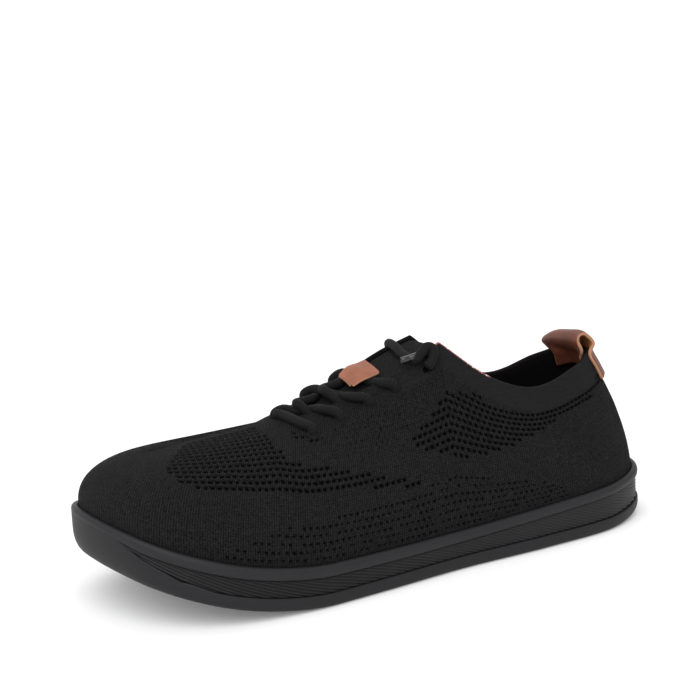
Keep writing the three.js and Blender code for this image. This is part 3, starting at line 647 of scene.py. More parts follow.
# Soft creases: station, height share at both ends, side, width and depth in millimetres
CREASE_ROWS = (
    (6.3, 0.62, 5.5, 0.22, 1, 5.0, 0.55),
    (6.75, 0.6, 6.2, 0.2, 1, 6.0, 0.5),
    (5.2, 0.75, 4.4, 0.45, 1, 6.0, 0.5),
    (3.1, 0.62, 2.2, 0.3, 1, 6.0, 0.5),
    (1.9, 0.7, 1.2, 0.35, 1, 5.0, 0.45),
    (6.3, 0.62, 5.5, 0.22, -1, 5.0, 0.6),
    (6.75, 0.6, 6.1, 0.2, -1, 6.0, 0.5),
    (5.0, 0.7, 4.2, 0.4, -1, 6.0, 0.5),
    (3.1, 0.6, 2.1, 0.3, -1, 6.0, 0.5),
)


def mesh_holes(station, shares):
    """Depth of the knit's open holes on the grid of the wall, for one side, and their darkness, which is painted
    shade inside each dent.
    """
    count, rows = len(station), len(shares)
    depth, dark = np.zeros((count, rows)), np.zeros((count, rows))
    drop = np.random.default_rng(11)
    for row in range(3, rows - 2, HOLE_EVERY):
        shift = (HOLE_EVERY // 2) * ((row // HOLE_EVERY) % 2)
        for i in range(2 + shift, count - 2, HOLE_EVERY):
            s, v = station[i], shares[row]
            keep = drop.random()
            wide = drop.random()
            if in_zone(VAMP_MESH, s, v) or in_zone(QUARTER_MESH, s, v) or in_zone(VAMP_BAR, s, v):
                spots = ((0, 0, 1.0), (-1, -1, 1.0), (-1, 0, 1.0), (0, -1, 0.7 + 0.3 * wide), (1, 0, 0.3 + 0.6 * wide), (-2, -1, 0.9 * keep))
                deep = 1.15
            elif in_zone(LOW_MESH, s, v) and keep > 0.12:
                spots = ((0, 0, 1.0), (-1, 0, 0.5 + 0.5 * wide), (-1, -1, 0.9 * wide))
                deep = 0.8
            elif (in_zone(HEEL_MESH, s, v) or in_zone(STAY_MESH, s, v)) and keep > 0.25:
                spots = ((0, 0, 0.5 + 0.4 * wide), (0, -1, 0.6 * wide))
                deep = 0.5
            else:
                continue
            for di, dj, amount in spots:
                dark[i + di, row + dj] = max(dark[i + di, row + dj], amount)
                depth[i + di, row + dj] = max(depth[i + di, row + dj], amount * deep)
    return depth, dark


OUTER_HOLES = ((5.78, 17.0), (5.35, 12.0), (4.95, 8.6), (4.62, 7.5), (4.2, HOLE_INSET))
INNER_HOLES = ((6.2, 5.0), (5.45, HOLE_INSET), (5, HOLE_INSET), (4.62, HOLE_INSET), (4.2, HOLE_INSET))
HOLE_SPOTS = [Spot(s, side, d) for side, row in ((1, OUTER_HOLES), (-1, INNER_HOLES)) for s, d in row]
HOLE_RADIUS = 2.1


def upper_skin():
    station = LAP_STATION
    shares = np.linspace(0, 1, WALL_STEPS + 1)
    curves = wall_curves(LAP_PLACES)
    wall, length = at_shares(curves, shares)
    root = np.concatenate([LAP_PLACES.inset(RIM_WALL + GAP), np.zeros((LAP_COUNT, 1))], 1)
    root[:, 2] = tread_lift(root[:, 0]) + FOOTBED + GAP
    outer = np.concatenate([root[:, None], wall], 1)
    rows = outer.shape[1]
    flat = outer.reshape(-1, 3)
    faces = grid_faces(LAP_COUNT, rows, close_rows=True, flip=True)
    index = np.arange(LAP_COUNT * rows).reshape(LAP_COUNT, rows)
    crest = station >= THROAT_END
    index[crest, -1] = TWIN[crest] * rows + rows - 1
    normals = point_normals(flat, faces, index.ravel()).reshape(outer.shape)
    if (normals[:, 20, :2] * LAP_PLACES.outward).sum() < 0:
        normals = -normals

    band_start = 1 - COLLAR_BAND / length
    band = smoothstep(shares[None], (band_start - 0.02)[:, None], (band_start + 0.03)[:, None])
    band = band * collar_share(station)[:, None]
    skin = outer.copy()
    skin[:, 1:] += normals[:, 1:] * (band * COLLAR_STEP)[..., None]
    for s0, v0, s1, v1, side, width, depth in CREASE_ROWS:
        ends = [at_shares(wall_curves(Places([s], side)), [v])[0][0, 0] for s, v in ((s0, v0), (s1, v1))]
        mine = (LAP_SIDE == side) | (station == 0) | (station == TOE)
        skin[mine, 1:] = crease(skin[mine, 1:], ends[0], ends[1], width, depth, normals[mine, 1:])

    # The holes dent the wall, and their darkness is painted shade for the knit's colour.
    side_depth, side_hole_shade = mesh_holes(STATIONS, shares)
    lap = TWIN
    deep, dark = side_depth[lap], side_hole_shade[lap]
    skin[:, 1:] -= normals[:, 1:] * deep[..., None]

    inner_rows = np.linspace(WALL_STEPS, 0, LINING_STEPS + 1).round().astype(int) + 1
    inner = outer[:, inner_rows] - normals[:, inner_rows] * KNIT_WALL
    top, inside = skin[:, -1], inner[:, 0]
    middle, half = (top + inside) / 2, (top - inside) / 2
    rise = np.cross(np.roll(top, -1, 0) - np.roll(top, 1, 0), half)
    rise *= np.sign(rise[:, 2:3]) / np.linalg.norm(rise, axis=1, keepdims=True)
    angle = np.linspace(0, math.pi, EDGE_STEPS + 2)[1:-1]
    size = np.linalg.norm(half, axis=1)[:, None, None]
    edge = middle[:, None] + half[:, None] * np.cos(angle)[None, :, None]
    edge = edge + rise[:, None] * size * 0.8 * np.sin(angle)[None, :, None]
    edge[crest] = (middle[:, None] + 0 * edge)[crest]

    points = np.concatenate([skin, edge, inner], 1)
    total = points.shape[1]
    index = np.arange(LAP_COUNT * total).reshape(LAP_COUNT, total)
    index[crest, rows - 1] = index[TWIN[crest], rows - 1]
    index[crest, rows + EDGE_STEPS] = index[TWIN[crest], rows + EDGE_STEPS]
    throat = np.abs(station - THROAT_END) < 1e-6
    index[throat, rows - 1 : rows + EDGE_STEPS + 1] = index[TWIN[throat], rows - 1 : rows + EDGE_STEPS + 1]
    faces = grid_faces(LAP_COUNT, total, close_rows=True, flip=True)
    lap_of, row_of = faces[:, 0] // total, np.minimum(faces[:, 0], faces[:, 1]) % total
    row_of = np.min(faces % total, axis=1)
    lap_of = np.stack([faces[:, 0] // total, faces[:, 2] // total], 1)
    both_crest = crest[lap_of].all(1)
    in_edge = (row_of >= rows - 1) & (row_of < rows + EDGE_STEPS)
    kept = ~(both_crest & in_edge)
    faces, row_of, lap_kept = faces[kept], row_of[kept], lap_of[kept].min(1)
    faces = index.ravel()[faces]

    flat = points.reshape(-1, 3)
    centre = flat[faces].mean(1)
    cut = np.zeros(len(faces), bool)
    for spot in HOLE_SPOTS:
        gap = centre - spot.point
        height = gap @ spot.normal
        away = np.linalg.norm(gap - height[:, None] * spot.normal, axis=1)
        cut |= (away < HOLE_RADIUS + 0.35) & (np.abs(height) < 3.2)
    faces, row_of, lap_kept = faces[~cut], row_of[~cut], lap_kept[~cut]

    u = np.concatenate([TWIN[: SIDE_STEPS + 1], TWIN[SIDE_STEPS + 1 :]]) / SIDE_STEPS * SIDE_RUN
    v = np.concatenate([[-1.0], shares]) * 1.0
    map_v = v[None] * length[:, None]
    inner_v = map_v[:, inner_rows]
    edge_v = np.repeat(map_v[:, -1:], EDGE_STEPS, 1)
    uv = np.stack([np.repeat(u[:, None], total, 1), np.concatenate([map_v, edge_v, inner_v], 1)], -1)
    layers = {"hole": np.zeros((LAP_COUNT, total)), "band": np.zeros((LAP_COUNT, total))}
    layers["hole"][:, 1:rows] = dark
    layers["band"][:, 1:rows] = band
    layers["band"][:, rows : rows + EDGE_STEPS] = collar_share(station)[:, None]
    near_peak = smoothstep(station, 3.3, 3.6) * (1 - smoothstep(station, 4.12, 4.3))
    layers["trim"] = np.zeros((LAP_COUNT, total))
    near_peak = near_peak * (LAP_SIDE > 0)
    layers["trim"][:, rows - 1 : rows + EDGE_STEPS] = near_peak[:, None]

    speckled = near_peak[np.minimum(lap_kept, LAP_COUNT - 1)] > 0.5
    used, faces = np.unique(faces, return_inverse=True)
    faces = faces.reshape(-1, 4)
    layers = {key: value.ravel()[used] for key, value in layers.items()}
    inside_face = ((row_of >= rows + 1) | (speckled & (row_of >= rows - 1))).astype(int)
    piece = make_mesh(
        "upper_knit", flat[used], faces, [KNIT, LINING], uv.reshape(-1, 2)[used], layers, inside_face
    )
    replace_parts(piece, "upper")
    return outer, normals


UPPER_GRID, UPPER_NORMALS = upper_skin()


def lathe_ring(profile, spot, steps=28):
    """Points of a ring round a spot's normal, from a profile of radius and height."""
    points = []
    for k in range(steps):
        angle = 2 * math.pi * k / steps
        way = spot.along * math.cos(angle) + spot.up * math.sin(angle)
        points += [spot.point + way * radius + spot.normal * height for radius, height in profile]
    return points, grid_faces(steps, len(profile), close_rows=True)


def joined(parts):
    """Points and faces of several meshes in one."""
    points, faces, start = [], [], 0
    for p, f in parts:
        points.append(np.asarray(p, float).reshape(-1, 3))
        faces.append(np.asarray(f) + start)
        start += len(points[-1])
    return np.vstack(points), np.vstack(faces)


def lace_holes():
    profile = [(3.1, -0.15), (2.9, 0.2), (2.45, 0.34), (2.1, 0.12), (2.0, -0.4), (2.0, -1.9), (2.5, -2.25), (3.1, -2.05)]
    points, faces = joined([lathe_ring(profile, spot) for spot in HOLE_SPOTS])
    zero = np.zeros(len(points))
    uv = points[:, :2]
    make_mesh("lace_hole_edges", points, faces, [KNIT], uv, {"hole": zero, "band": zero + 1})


lace_holes()


# Sole
RIB_PITCH = 1.5
RIB_DEPTH = 0.5
PANEL_STEPS = 44


def lap_slope_run():
    """Run of the ribs' slant round the shoe: they dip to the heel, more at the waist than at the ends."""
    table = dict(at=(0, 0.3, 1.2, 2, 3.5, 5, 6.5, 8, 9), slope=(0, 0.16, 0.26, 0.34, 0.4, 0.3, 0.2, 0.12, 0))
    slope = column(table, "slope", LAP_STATION)
    point = LAP_PLACES.point
    step = np.linalg.norm(np.roll(point, -1, 0) - point, axis=1)
    run = np.concatenate([[0], np.cumsum((slope * step)[: SIDE_STEPS])])
    return run[TWIN]


# Depth below the sole's top edge of the rim's lower crease and of the lower band's edge, by station
CREASE_DEPTHS = dict(
    at=(0, 2, 4, 6, 7.5, 8.05, 8.2, 8.32, 9),
    rim=(4.2, 4.4, 5.0, 5.5, 5.6, 5.3, 4.3, 3.0, 3.0),
    band=(0, 0, 0, 0, 11.7, 7.6, 5.2, 3.06, 3.06),
)


def creases(p):
    """Heights of the rim's crease and of the band's edge, and how far the panel is open."""
    top = side_top(p)
    rim = np.interp(p.station, CREASE_DEPTHS["at"], CREASE_DEPTHS["rim"])
    band = np.interp(p.station, CREASE_DEPTHS["at"], CREASE_DEPTHS["band"])
    low = np.where(p.station < 7.5, tread_lift(p.point[:, 0]) + LOWER_BAND, 0)
    fade = smoothstep(p.station, 7.0, 7.7)
    low = mix(tread_lift(p.point[:, 0]) + LOWER_BAND, top - band, np.where(p.station < 7.0, 0, fade))
    return np.minimum(low, top - rim - 0.05), top - rim, 1 - smoothstep(p.station, 8.08, 8.34)


def side_ring(p, depth, height):
    return np.concatenate([p.inset(depth), np.broadcast_to(height, p.station.shape)[:, None]], 1)


def tread_ring(p, depth, lift):
    points = p.inset(depth)
    return np.concatenate([points, (tread_lift(points[:, 0]) + lift)[:, None]], 1)


def side_piece(name, rings, material, groove_shade):
    count = len(rings)
    # The per-ring layer is painted shade, read by the rubber's colour.
    layers = {"groove_shade": np.array(groove_shade)}
    faces = grid_faces(count, LAP_COUNT, close_columns=True)
    return make_mesh(name, np.array(rings), faces, [material], None, layers)


def midsole_skin():
    p = LAP_PLACES
    low, high, open_panel = creases(p)
    rise = lap_slope_run()
    none = np.zeros(LAP_COUNT)
    seam = mix(0.0, BAND_LIP + GAP, open_panel)
    rings = [tread_ring(p, 14.0, FOOTBED - CUSHION), tread_ring(p, BAND_LIP + GAP, FOOTBED - CUSHION),
             side_ring(p, BAND_LIP + GAP, low - 0.3), side_ring(p, seam, low)]
    # Painted shade in the ribbed panel's recess, half as strong towards the heel and none at the toe: darkest in
    # the rib troughs and at the crease under the rim.
    shade = open_panel * mix(0.5, 1.0, smoothstep(p.station, 3, 6))
    groove_shade = [none] * 3 + [shade]
    for t in np.linspace(0, 1, PANEL_STEPS + 1):
        z = mix(low, high, t)
        wave = 0.5 - 0.5 * np.cos(2 * math.pi * (z - tread_lift(p.point[:, 0]) - rise) / RIB_PITCH)
        ends = smoothstep(t, 0, 0.05) * smoothstep(1 - t, 0, 0.06)
        rings.append(side_ring(p, (PANEL_INSET + RIB_DEPTH * (1 - wave**0.8 * ends)) * open_panel, z))
        groove_shade.append(shade * (0.2 + 0.8 * (1 - wave * ends) ** 1.3))
    bead = [(1.45, 0.0), (1.0, 0.12), (0.55, 0.35), (0.28, 0.8), (0.12, 1.6), (0.05, 2.4), (0.08, 3.2), (0.24, 4.0),
            (0.55, 4.7), (1.0, 5.2), (1.6, 5.48), (2.3, 5.6), (RIM_WALL - 0.25, 5.5), (RIM_WALL, 5.1)]
    for depth, up in bead:
        deep = depth * open_panel if up < 3 else depth
        rings.append(side_ring(p, deep, high + up * (side_top(p) - high) / 5.6))
        groove_shade.append(shade * (0.8 if up < 0.1 else 0.3 if up < 0.2 else 0.0))
    rings += [tread_ring(p, RIM_WALL, FOOTBED + 1), tread_ring(p, RIM_WALL, FOOTBED), tread_ring(p, 14.0, FOOTBED)]
    groove_shade += [none] * 3
    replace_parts(side_piece("midsole_side", rings, FOAM, groove_shade), "midsole")


def outsole_skin():
    p = LAP_PLACES
    inset = edge_inset(p)
    base = tread_lift(p.inset(inset)[:, 0])
    top, _, open_panel = creases(p)
    rings = [tread_ring(p, inset + BORDER + 5, LUG_DEPTH), tread_ring(p, inset + BORDER + 0.9, LUG_DEPTH),
             tread_ring(p, inset + BORDER + 0.45, LUG_DEPTH * 0.75), tread_ring(p, inset + BORDER + 0.15, 0.25),
             tread_ring(p, inset + BORDER - 0.5, 0), tread_ring(p, inset + BORDER / 2, 0), tread_ring(p, inset + 0.6, 0)]
    # The edge rolls up on a quarter curve, then stands nearly straight to the lip
    for angle in np.linspace(0, math.pi / 2, 9):
        share = 0.66 * (1 - math.cos(angle)) ** 1.05
        rings.append(side_ring(p, inset * (1 - math.sin(angle)) ** 1.15, mix(base, top, share)))
    for depth, share in ((0.0, 0.8), (0.08, 0.93), (0.22, 0.985), (GAP + 0.1, 1.0)):
        rings.append(side_ring(p, depth * open_panel, mix(base, top, share)))
    rings += [side_ring(p, BAND_LIP, top), tread_ring(p, BAND_LIP, LUG_DEPTH + WEB), tread_ring(p, 14.0, LUG_DEPTH + WEB)]
    groove_shade = [np.zeros(LAP_COUNT)] * len(rings)
    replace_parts(side_piece("outsole_edge", rings, RUBBER, groove_shade), "outsole")


def plate(name, depth, low, high, material, crown=0.0, steps=10):
    """Closed plate that fills the sole's outline a depth inside it, from one lift to another."""
    stations = STATIONS[::4]
    sides = [Places(stations, side).inset(depth) for side in (1, -1)]
    rows = []
    for t in np.linspace(0, 1, steps + 1):
        flat = mix(sides[0], sides[1], t)
        rows.append(flat)
    flat = np.array(rows)
    lift = tread_lift(flat[..., 0])
    edge = np.minimum(np.linspace(0, 1, steps + 1), np.linspace(1, 0, steps + 1))[:, None]
    dish = crown * (1 - smoothstep(edge, 0, 0.25)) + 0 * lift
    upper = np.concatenate([flat, (lift + high + dish)[..., None]], -1)
    lower = np.concatenate([flat, (lift + low)[..., None]], -1)
    rows, columns = flat.shape[:2]
    size = rows * columns
    faces = np.vstack([grid_faces(rows, columns), grid_faces(rows, columns, flip=True) + size])
    rim = [(i, 0) for i in range(rows - 1)] + [(rows - 1, j) for j in range(columns - 1)]
    rim += [(i, columns - 1) for i in range(rows - 1, 0, -1)] + [(0, j) for j in range(columns - 1, 0, -1)]
    rim = np.array([i * columns + j for i, j in rim])
    after = np.roll(rim, -1)
    faces = np.vstack([faces, np.stack([rim, rim + size, after + size, after], 1)])
    points = np.concatenate([upper.reshape(-1, 3), lower.reshape(-1, 3)])
    bm_piece = make_mesh(name, points, faces, [material])
    return bm_piece


def lug_solid(corners, chamfer=0.35, down=0.0):
    """Lug from a flat outline: its foot on the web, a chamfer, and its flat end on the ground line."""
    corners = np.array(corners, float)
    centre = corners.mean(0)
    pull = corners - centre
    small = centre + pull * (1 - chamfer / np.maximum(np.linalg.norm(pull, axis=1, keepdims=True), 1.5))
    rings = []
    for outline_points, height in ((corners * 1.0, LUG_DEPTH + 0.4), (corners, 0.3), (small, down)):
        lift = tread_lift(outline_points[:, 0]) + height
        rings.append(np.concatenate([outline_points, lift[:, None]], 1))
    return rings


def tread_span(x, border):
    rows = dict(at=SOLE_ROWS["along"], lateral=SOLE_ROWS["lateral"], medial=SOLE_ROWS["medial"])
    low = -column(rows, "medial", x / SOLE_LENGTH) * BALL_WIDTH + border
    high = column(rows, "lateral", x / SOLE_LENGTH) * BALL_WIDTH - border
    return low, high


def zigzag(x, low, high, wide=3.6, wave=4.2, length=12.6):
    steps = max(2, round((high - low) / (length / 2)))
    line = [(x + (wave / 2 if i % 2 else -wave / 2), mix(low, high, i / steps)) for i in range(steps + 1)]
    return [[(a - wide / 2, b) for a, b in pair] + [(a + wide / 2, b) for a, b in pair[::-1]]
            for pair in zip(line[:-1], line[1:])]


def arrow(x, y, width, depth, way):
    """Arrow lug of two parts that meet on its middle line."""
    tip, back, notch = x + way * depth * 0.62, x - way * depth * 0.5, x - way * depth * 0.02
    barb = x - way * depth * 0.16
    halves = []
    for side in (1, -1):
        half = [(tip, y), (barb, y + side * width * 0.5), (back, y + side * width * 0.46), (notch, y)]
        halves.append(half if side * way > 0 else half[::-1])
    return halves


TOE_BARS = np.arange(0.795, 0.94, 0.0235)
HEEL_BARS = np.arange(0.062, 0.135, 0.0235)
ARROW_PITCH = 13.6
ARROW_COLUMN = 12.4


def tread_lugs():
    parts = []
    outlines = []
    for share in np.concatenate([TOE_BARS, HEEL_BARS]):
        x = share * SOLE_LENGTH
        low, high = tread_span(x, 13.5)
        outlines += zigzag(x, low, high)
    for k in range(-4, 5):
        y = k * ARROW_COLUMN - 1.0
        way = 1 if k % 2 else -1
        start = 0.16 * SOLE_LENGTH + (ARROW_PITCH / 2 if k % 2 else 0)
        for x in np.arange(start, 0.775 * SOLE_LENGTH, ARROW_PITCH):
            low, high = tread_span(x, 12.0)
            if low + 4.6 < y < high - 4.6:
                outlines += arrow(x, y, 11.6, 11.4, way)
    for corners in outlines:
        rings = lug_solid(corners)
        count = len(corners)
        points = np.vstack(rings)
        faces = grid_faces(3, count, close_columns=True)
        caps = [[2 * count + i for i in range(count)], [i for i in range(count)][::-1]]
        parts.append((points, np.vstack([faces, caps])))
    points, faces = joined(parts)
    piece = make_mesh("tread_lugs", points, faces, [TREAD])
    data = piece.data
    data.polygons.foreach_set("use_smooth", np.zeros(len(data.polygons), bool))
    return piece


midsole_skin()
outsole_skin()
plate("outsole_web", EDGE_ROUND + BORDER + 1.5, LUG_DEPTH, LUG_DEPTH + WEB, TREAD)
plate("midsole_floor", RIM_WALL + 1.5, FOOTBED - CUSHION + 0.1, FOOTBED, FOAM)
tread_lugs()
insole = plate("insole_pad", RIM_WALL + GAP + KNIT_WALL + 0.4, FOOTBED + GAP, FOOTBED + GAP + INSOLE, LINING,
               crown=1.2, steps=24)
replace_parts(insole, "insole")


# Tongue
TONGUE_FROM = 6.75
TONGUE_UP_TO = 3.97
TONGUE = 2.4
LIE = LACE / 2 + GAP * 2
BRIDGE_LIE = LIE + KNIT_WALL


def grid_at(station, side, down):
    """Point and normal of the upper's plain outer face at a station and a distance below the top line."""
    spot = Spot(station, side, down)
    return spot.point, spot.normal


def tongue_face(station, share, above):
    outer, inner = (Spot(station, side, 0).off(-KNIT_WALL - GAP) for side in (1, -1))
    point = mix(outer, inner, share)
    crown = 0.4 * smoothstep(THROAT_END - station, 0, 0.8) * smoothstep(station, COLLAR_END - 0.3, COLLAR_END + 0.6)
    point[2] += crown * math.sin(math.pi * share) + above
    return point


def slab(name, face, down_way, thickness, materials, uv=None, round_edge=0.35, face_material=None):
    """Sheet of a thickness under a grid of points, with its edges rounded by pulled-in rings."""
    rows, columns = face.shape[:2]
    lower = face + down_way * thickness
    middle_ring = (face + lower) / 2
    size = rows * columns
    flat = np.concatenate([face.reshape(-1, 3), lower.reshape(-1, 3)])
    faces = [grid_faces(rows, columns), grid_faces(rows, columns, flip=True) + size]
    rim = [(i, 0) for i in range(rows - 1)] + [(rows - 1, j) for j in range(columns - 1)]
    rim += [(i, columns - 1) for i in range(rows - 1, 0, -1)] + [(0, j) for j in range(columns - 1, 0, -1)]
    rim = np.array([i * columns + j for i, j in rim])
    centre = np.array([face[min(max(i, 1), rows - 2), min(max(j, 1), columns - 2)]
                       for i, j in zip(rim // columns, rim % columns)])
    edge = middle_ring.reshape(-1, 3)[rim]
    out = face.reshape(-1, 3)[rim] - centre
    out /= np.maximum(np.linalg.norm(out, axis=1, keepdims=True), 1e-6)
    edge = edge + out * thickness * round_edge
    ring = np.arange(len(rim)) + 2 * size
    after = np.roll(np.arange(len(rim)), -1)
    side_faces = [np.stack([rim, ring, ring[after], rim[after]], 1),
                  np.stack([ring, rim + size, rim[after] + size, ring[after]], 1)]
    points = np.concatenate([flat, edge])
    everything = np.vstack(faces + side_faces)
    if uv is not None:
        uv = np.concatenate([uv.reshape(-1, 2), uv.reshape(-1, 2), uv.reshape(-1, 2)[rim]])
    index = None
    if face_material is not None:
        count = (rows - 1) * (columns - 1)
        index = np.concatenate([np.full(count, face_material[0]), np.full(count, face_material[1]),
                                np.full(2 * len(rim), face_material[2])])
    zero = np.zeros(len(points))
    layers = {"hole": zero, "band": zero, "trim": zero}
    return make_mesh(name, points, everything, materials, uv, layers, index)


def sheet_normals(face):
    down = np.gradient(face, axis=0)
    across = np.gradient(face, axis=1)
    normal = np.cross(down, across)
    return normal / np.maximum(np.linalg.norm(normal, axis=-1, keepdims=True), 1e-9)


def tongue():
    stations = np.linspace(TONGUE_FROM, TONGUE_UP_TO, 56)
    shares = np.linspace(0, 1, 17)
    rows = []
    for s in stations:
        sides = []
        for side in (1, -1):
            downs = (11.5, 8.5, 5.5, 2.5, 0.0)
            sides.append([Spot(s, side, d).off(-KNIT_WALL - GAP * 1.5) for d in downs])
        if s < THROAT_END:
            middle = [tongue_face(s, share, 0.0) for share in shares[1:-1]]
        else:
            middle = [mix(sides[0][-1], sides[1][-1], share) for share in shares[1:-1]]
        rows.append(sides[0] + middle + sides[1][::-1])
    face = np.array(rows)
    face[1:-1] = (face[:-2] + 2 * face[1:-1] + face[2:]) / 4
    across = np.linalg.norm(np.diff(face, axis=1, prepend=face[:, :1]), axis=-1).cumsum(1)
    along = np.linalg.norm(np.diff(face, axis=0, prepend=face[:1]), axis=-1).cumsum(0)
    normal = sheet_normals(face)
    normal *= np.sign(normal[..., 2].mean())
    piece = slab("tongue_knit", face, -normal, TONGUE, [KNIT], np.stack([across, along], -1))
    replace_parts(piece, "tongue")


tongue()


# Laces
def smooth_path(points, steps):
    """Even points on a centripetal curve through the given points."""
    points = np.asarray(points, float)
    padded = np.vstack([2 * points[0] - points[1], points, 2 * points[-1] - points[-2]])
    dense = []
    for p0, p1, p2, p3 in zip(padded[:-3], padded[1:-2], padded[2:-1], padded[3:]):
        d0, d1, d2 = (max(np.linalg.norm(b - a), 1e-6) ** 0.5 for a, b in ((p0, p1), (p1, p2), (p2, p3)))
        t1 = ((p1 - p0) / d0 - (p2 - p0) / (d0 + d1) + (p2 - p1) / d1) * d1
        t2 = ((p2 - p1) / d1 - (p3 - p1) / (d1 + d2) + (p3 - p2) / d2) * d1
        w = np.linspace(0, 1, 24, endpoint=False)[:, None]
        dense.append(p1 + t1 * w + (-3 * p1 + 3 * p2 - 2 * t1 - t2) * w**2 + (2 * p1 - 2 * p2 + t1 + t2) * w**3)
    dense = np.vstack(dense + [points[-1:]])
    run = run_of(dense)
    even = np.linspace(0, run[-1], steps)
    return np.stack([np.interp(even, run, dense[:, axis]) for axis in range(3)], 1), run[-1]


def tube(path, radius, sides=14, flat=1.0, start=0.0):
    """Points, faces and map of a closed tube along a path."""
    count = len(path)
    tangent = np.gradient(path, axis=0)
    tangent /= np.linalg.norm(tangent, axis=1, keepdims=True)
    side = np.cross(tangent[0], [0, 0, 1.0])
    side /= np.linalg.norm(side)
    rings, uv = [], []
    run = start + run_of(path)
    for k in range(count):
        side = side - tangent[k] * (side @ tangent[k])
        side /= np.linalg.norm(side)
        up = np.cross(side, tangent[k])
        for i in range(sides):
            angle = 2 * math.pi * i / sides
            size = radius[k] if np.ndim(radius) else radius
            rings.append(path[k] + (side * math.cos(angle) + up * math.sin(angle) * flat) * size)
            uv.append((run[k], i / sides))
    faces = grid_faces(count, sides, close_columns=True)
    for end, base in ((path[0], 0), (path[-1], (count - 1) * sides)):
        rings.append(end)
        uv.append((run[0], 0.5))
        centre = len(rings) - 1
        ring = [base + i for i in range(sides)]
        caps = [[ring[i], ring[(i + 1) % sides], ring[(i + 2) % sides], centre] for i in range(0, sides, 2)]
        faces = np.vstack([faces, caps if base == 0 else [c[::-1] for c in caps]])
    return np.array(rings), faces, np.array(uv)


def over(station, side, down, more=0.0):
    return Spot(station, side, down).off(LIE + more)


def into_hole(side, which, lean):
    """Last points of a lace that goes down into a hole, leaning to the way it comes from."""
    station, down = (OUTER_HOLES if side > 0 else INNER_HOLES)[which]
    spot = Spot(station, side, down)
    return [spot.off(2.1, lean, 1.6), spot.off(0.9, lean * 0.2, 0.2), spot.off(-1.9, 0, -0.6)]


def bar(inner, outer, start, sink=2.2):
    """Lace from a hole on the inner side, over the tongue, into a hole on the outer side."""
    s_in, s_out = INNER_HOLES[inner][0], OUTER_HOLES[outer][0]
    first = into_hole(-1, inner, 0.0)[::-1]
    last = into_hole(1, outer, 1.2)
    middle = [over(mix(s_in, start, 0.3), -1, 1.5, -1.5)]
    middle += [tongue_face(mix(s_in, start, share), 1 - share, sink) for share in (0.5, 0.72)]
    middle += [tongue_face(start, 0.1, sink + 0.2), over(mix(start, s_out, 0.45), 1, OUTER_HOLES[outer][1] * 0.42, -0.6)]
    return first + middle + last


def curl(at, height):
    """Lace that rises from under the outer edge, turns over the bar before it and runs up the tongue."""
    rows = ((-0.14, 0.0, 0.2), (-0.07, 0.14, 3.6), (0.0, 0.42, 6.0), (-0.04, 0.68, 5.0), (-0.18, 0.74, 3.6),
            (-0.32, 0.72, 2.8), (-0.42, 0.84, 1.4), (-0.5, 1.0, -1.6))
    return [tongue_face(min(at + s, THROAT_END - 0.05), share, lift * height) for s, share, lift in rows]


def laces():
    first = [Spot(6.22, -1, 3.0).off(-1.5), over(6.3, -1, 0.8, -0.9), over(6.24, 1, 2.2, -0.7), over(6.06, 1, 7.5, -0.7),
             over(5.93, 1, 12.0, -0.7)] + into_hole(1, 0, 0.8)
    routes = [first, bar(0, 1, 5.76), bar(1, 2, 5.28), bar(2, 3, 4.84, 1.2), curl(5.97, 1.0), curl(5.48, 0.95)]
    points, faces, uvs, start = [], [], [], 0
    for route in routes:
        path, _ = smooth_path(route, 90)
        p, f, uv = tube(path, LACE / 2, 16)
        points.append(p)
        faces.append(f + start)
        uvs.append(uv)
        start += len(p)
    piece = make_mesh("lace_bars", np.vstack(points), np.vstack(faces), [BRAID], np.vstack(uvs))
    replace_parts(piece, "lace_crossings")


laces()

# Upper end of the lace: a ring by the top hole of the outer side that runs over the tongue
KNOT_RADIUS = 4.3
KNOT_RISE = 4.1
KNOT_LEAN = 0.8
KNOT_TURN = (180, 150, 120, 90, 60, 30, 5)


def beside_top_hole(forward, up, out):
    return Spot(LACE_STATIONS[-1], 1, HOLE_INSET).off(out, forward, up)


def lace_loop():
    ring = []
    for degrees in KNOT_TURN:
        angle = math.radians(degrees)
        lean = KNOT_LEAN * (1 + math.cos(angle))
        ring.append(beside_top_hole(-KNOT_RADIUS * math.sin(angle), KNOT_RISE + KNOT_RADIUS * math.cos(angle), LIE + lean))
    top = LACE_STATIONS[-1]
    route = ring + [
        over(top + 0.12, 1, 0.6, 0.2),
        tongue_face(top + 0.2, 0.3, 3.0),
        tongue_face(top + 0.16, 0.7, 2.8),
        over(top + 0.08, -1, 0.4, -0.6),
        Spot(top + 0.03, -1, 3.8).off(2.3),
        Spot(top, -1, HOLE_INSET).off(0.6),
    ]
    path, length = smooth_path(route, 150)
    points, faces, uv = tube(path, LACE / 2, 16)
    piece = make_mesh("lace_end", points, faces, [BRAID], uv)
    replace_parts(piece, "lace_loop")


lace_loop()

AGLET = 3.2
AGLET_LENGTH = 9.5
TIP_STUB = 3.4


def tip_at(distance):
    return beside_top_hole(0.4 + distance, KNOT_RISE + 2.7 + distance * 0.26, 2.6 + distance * 0.12)


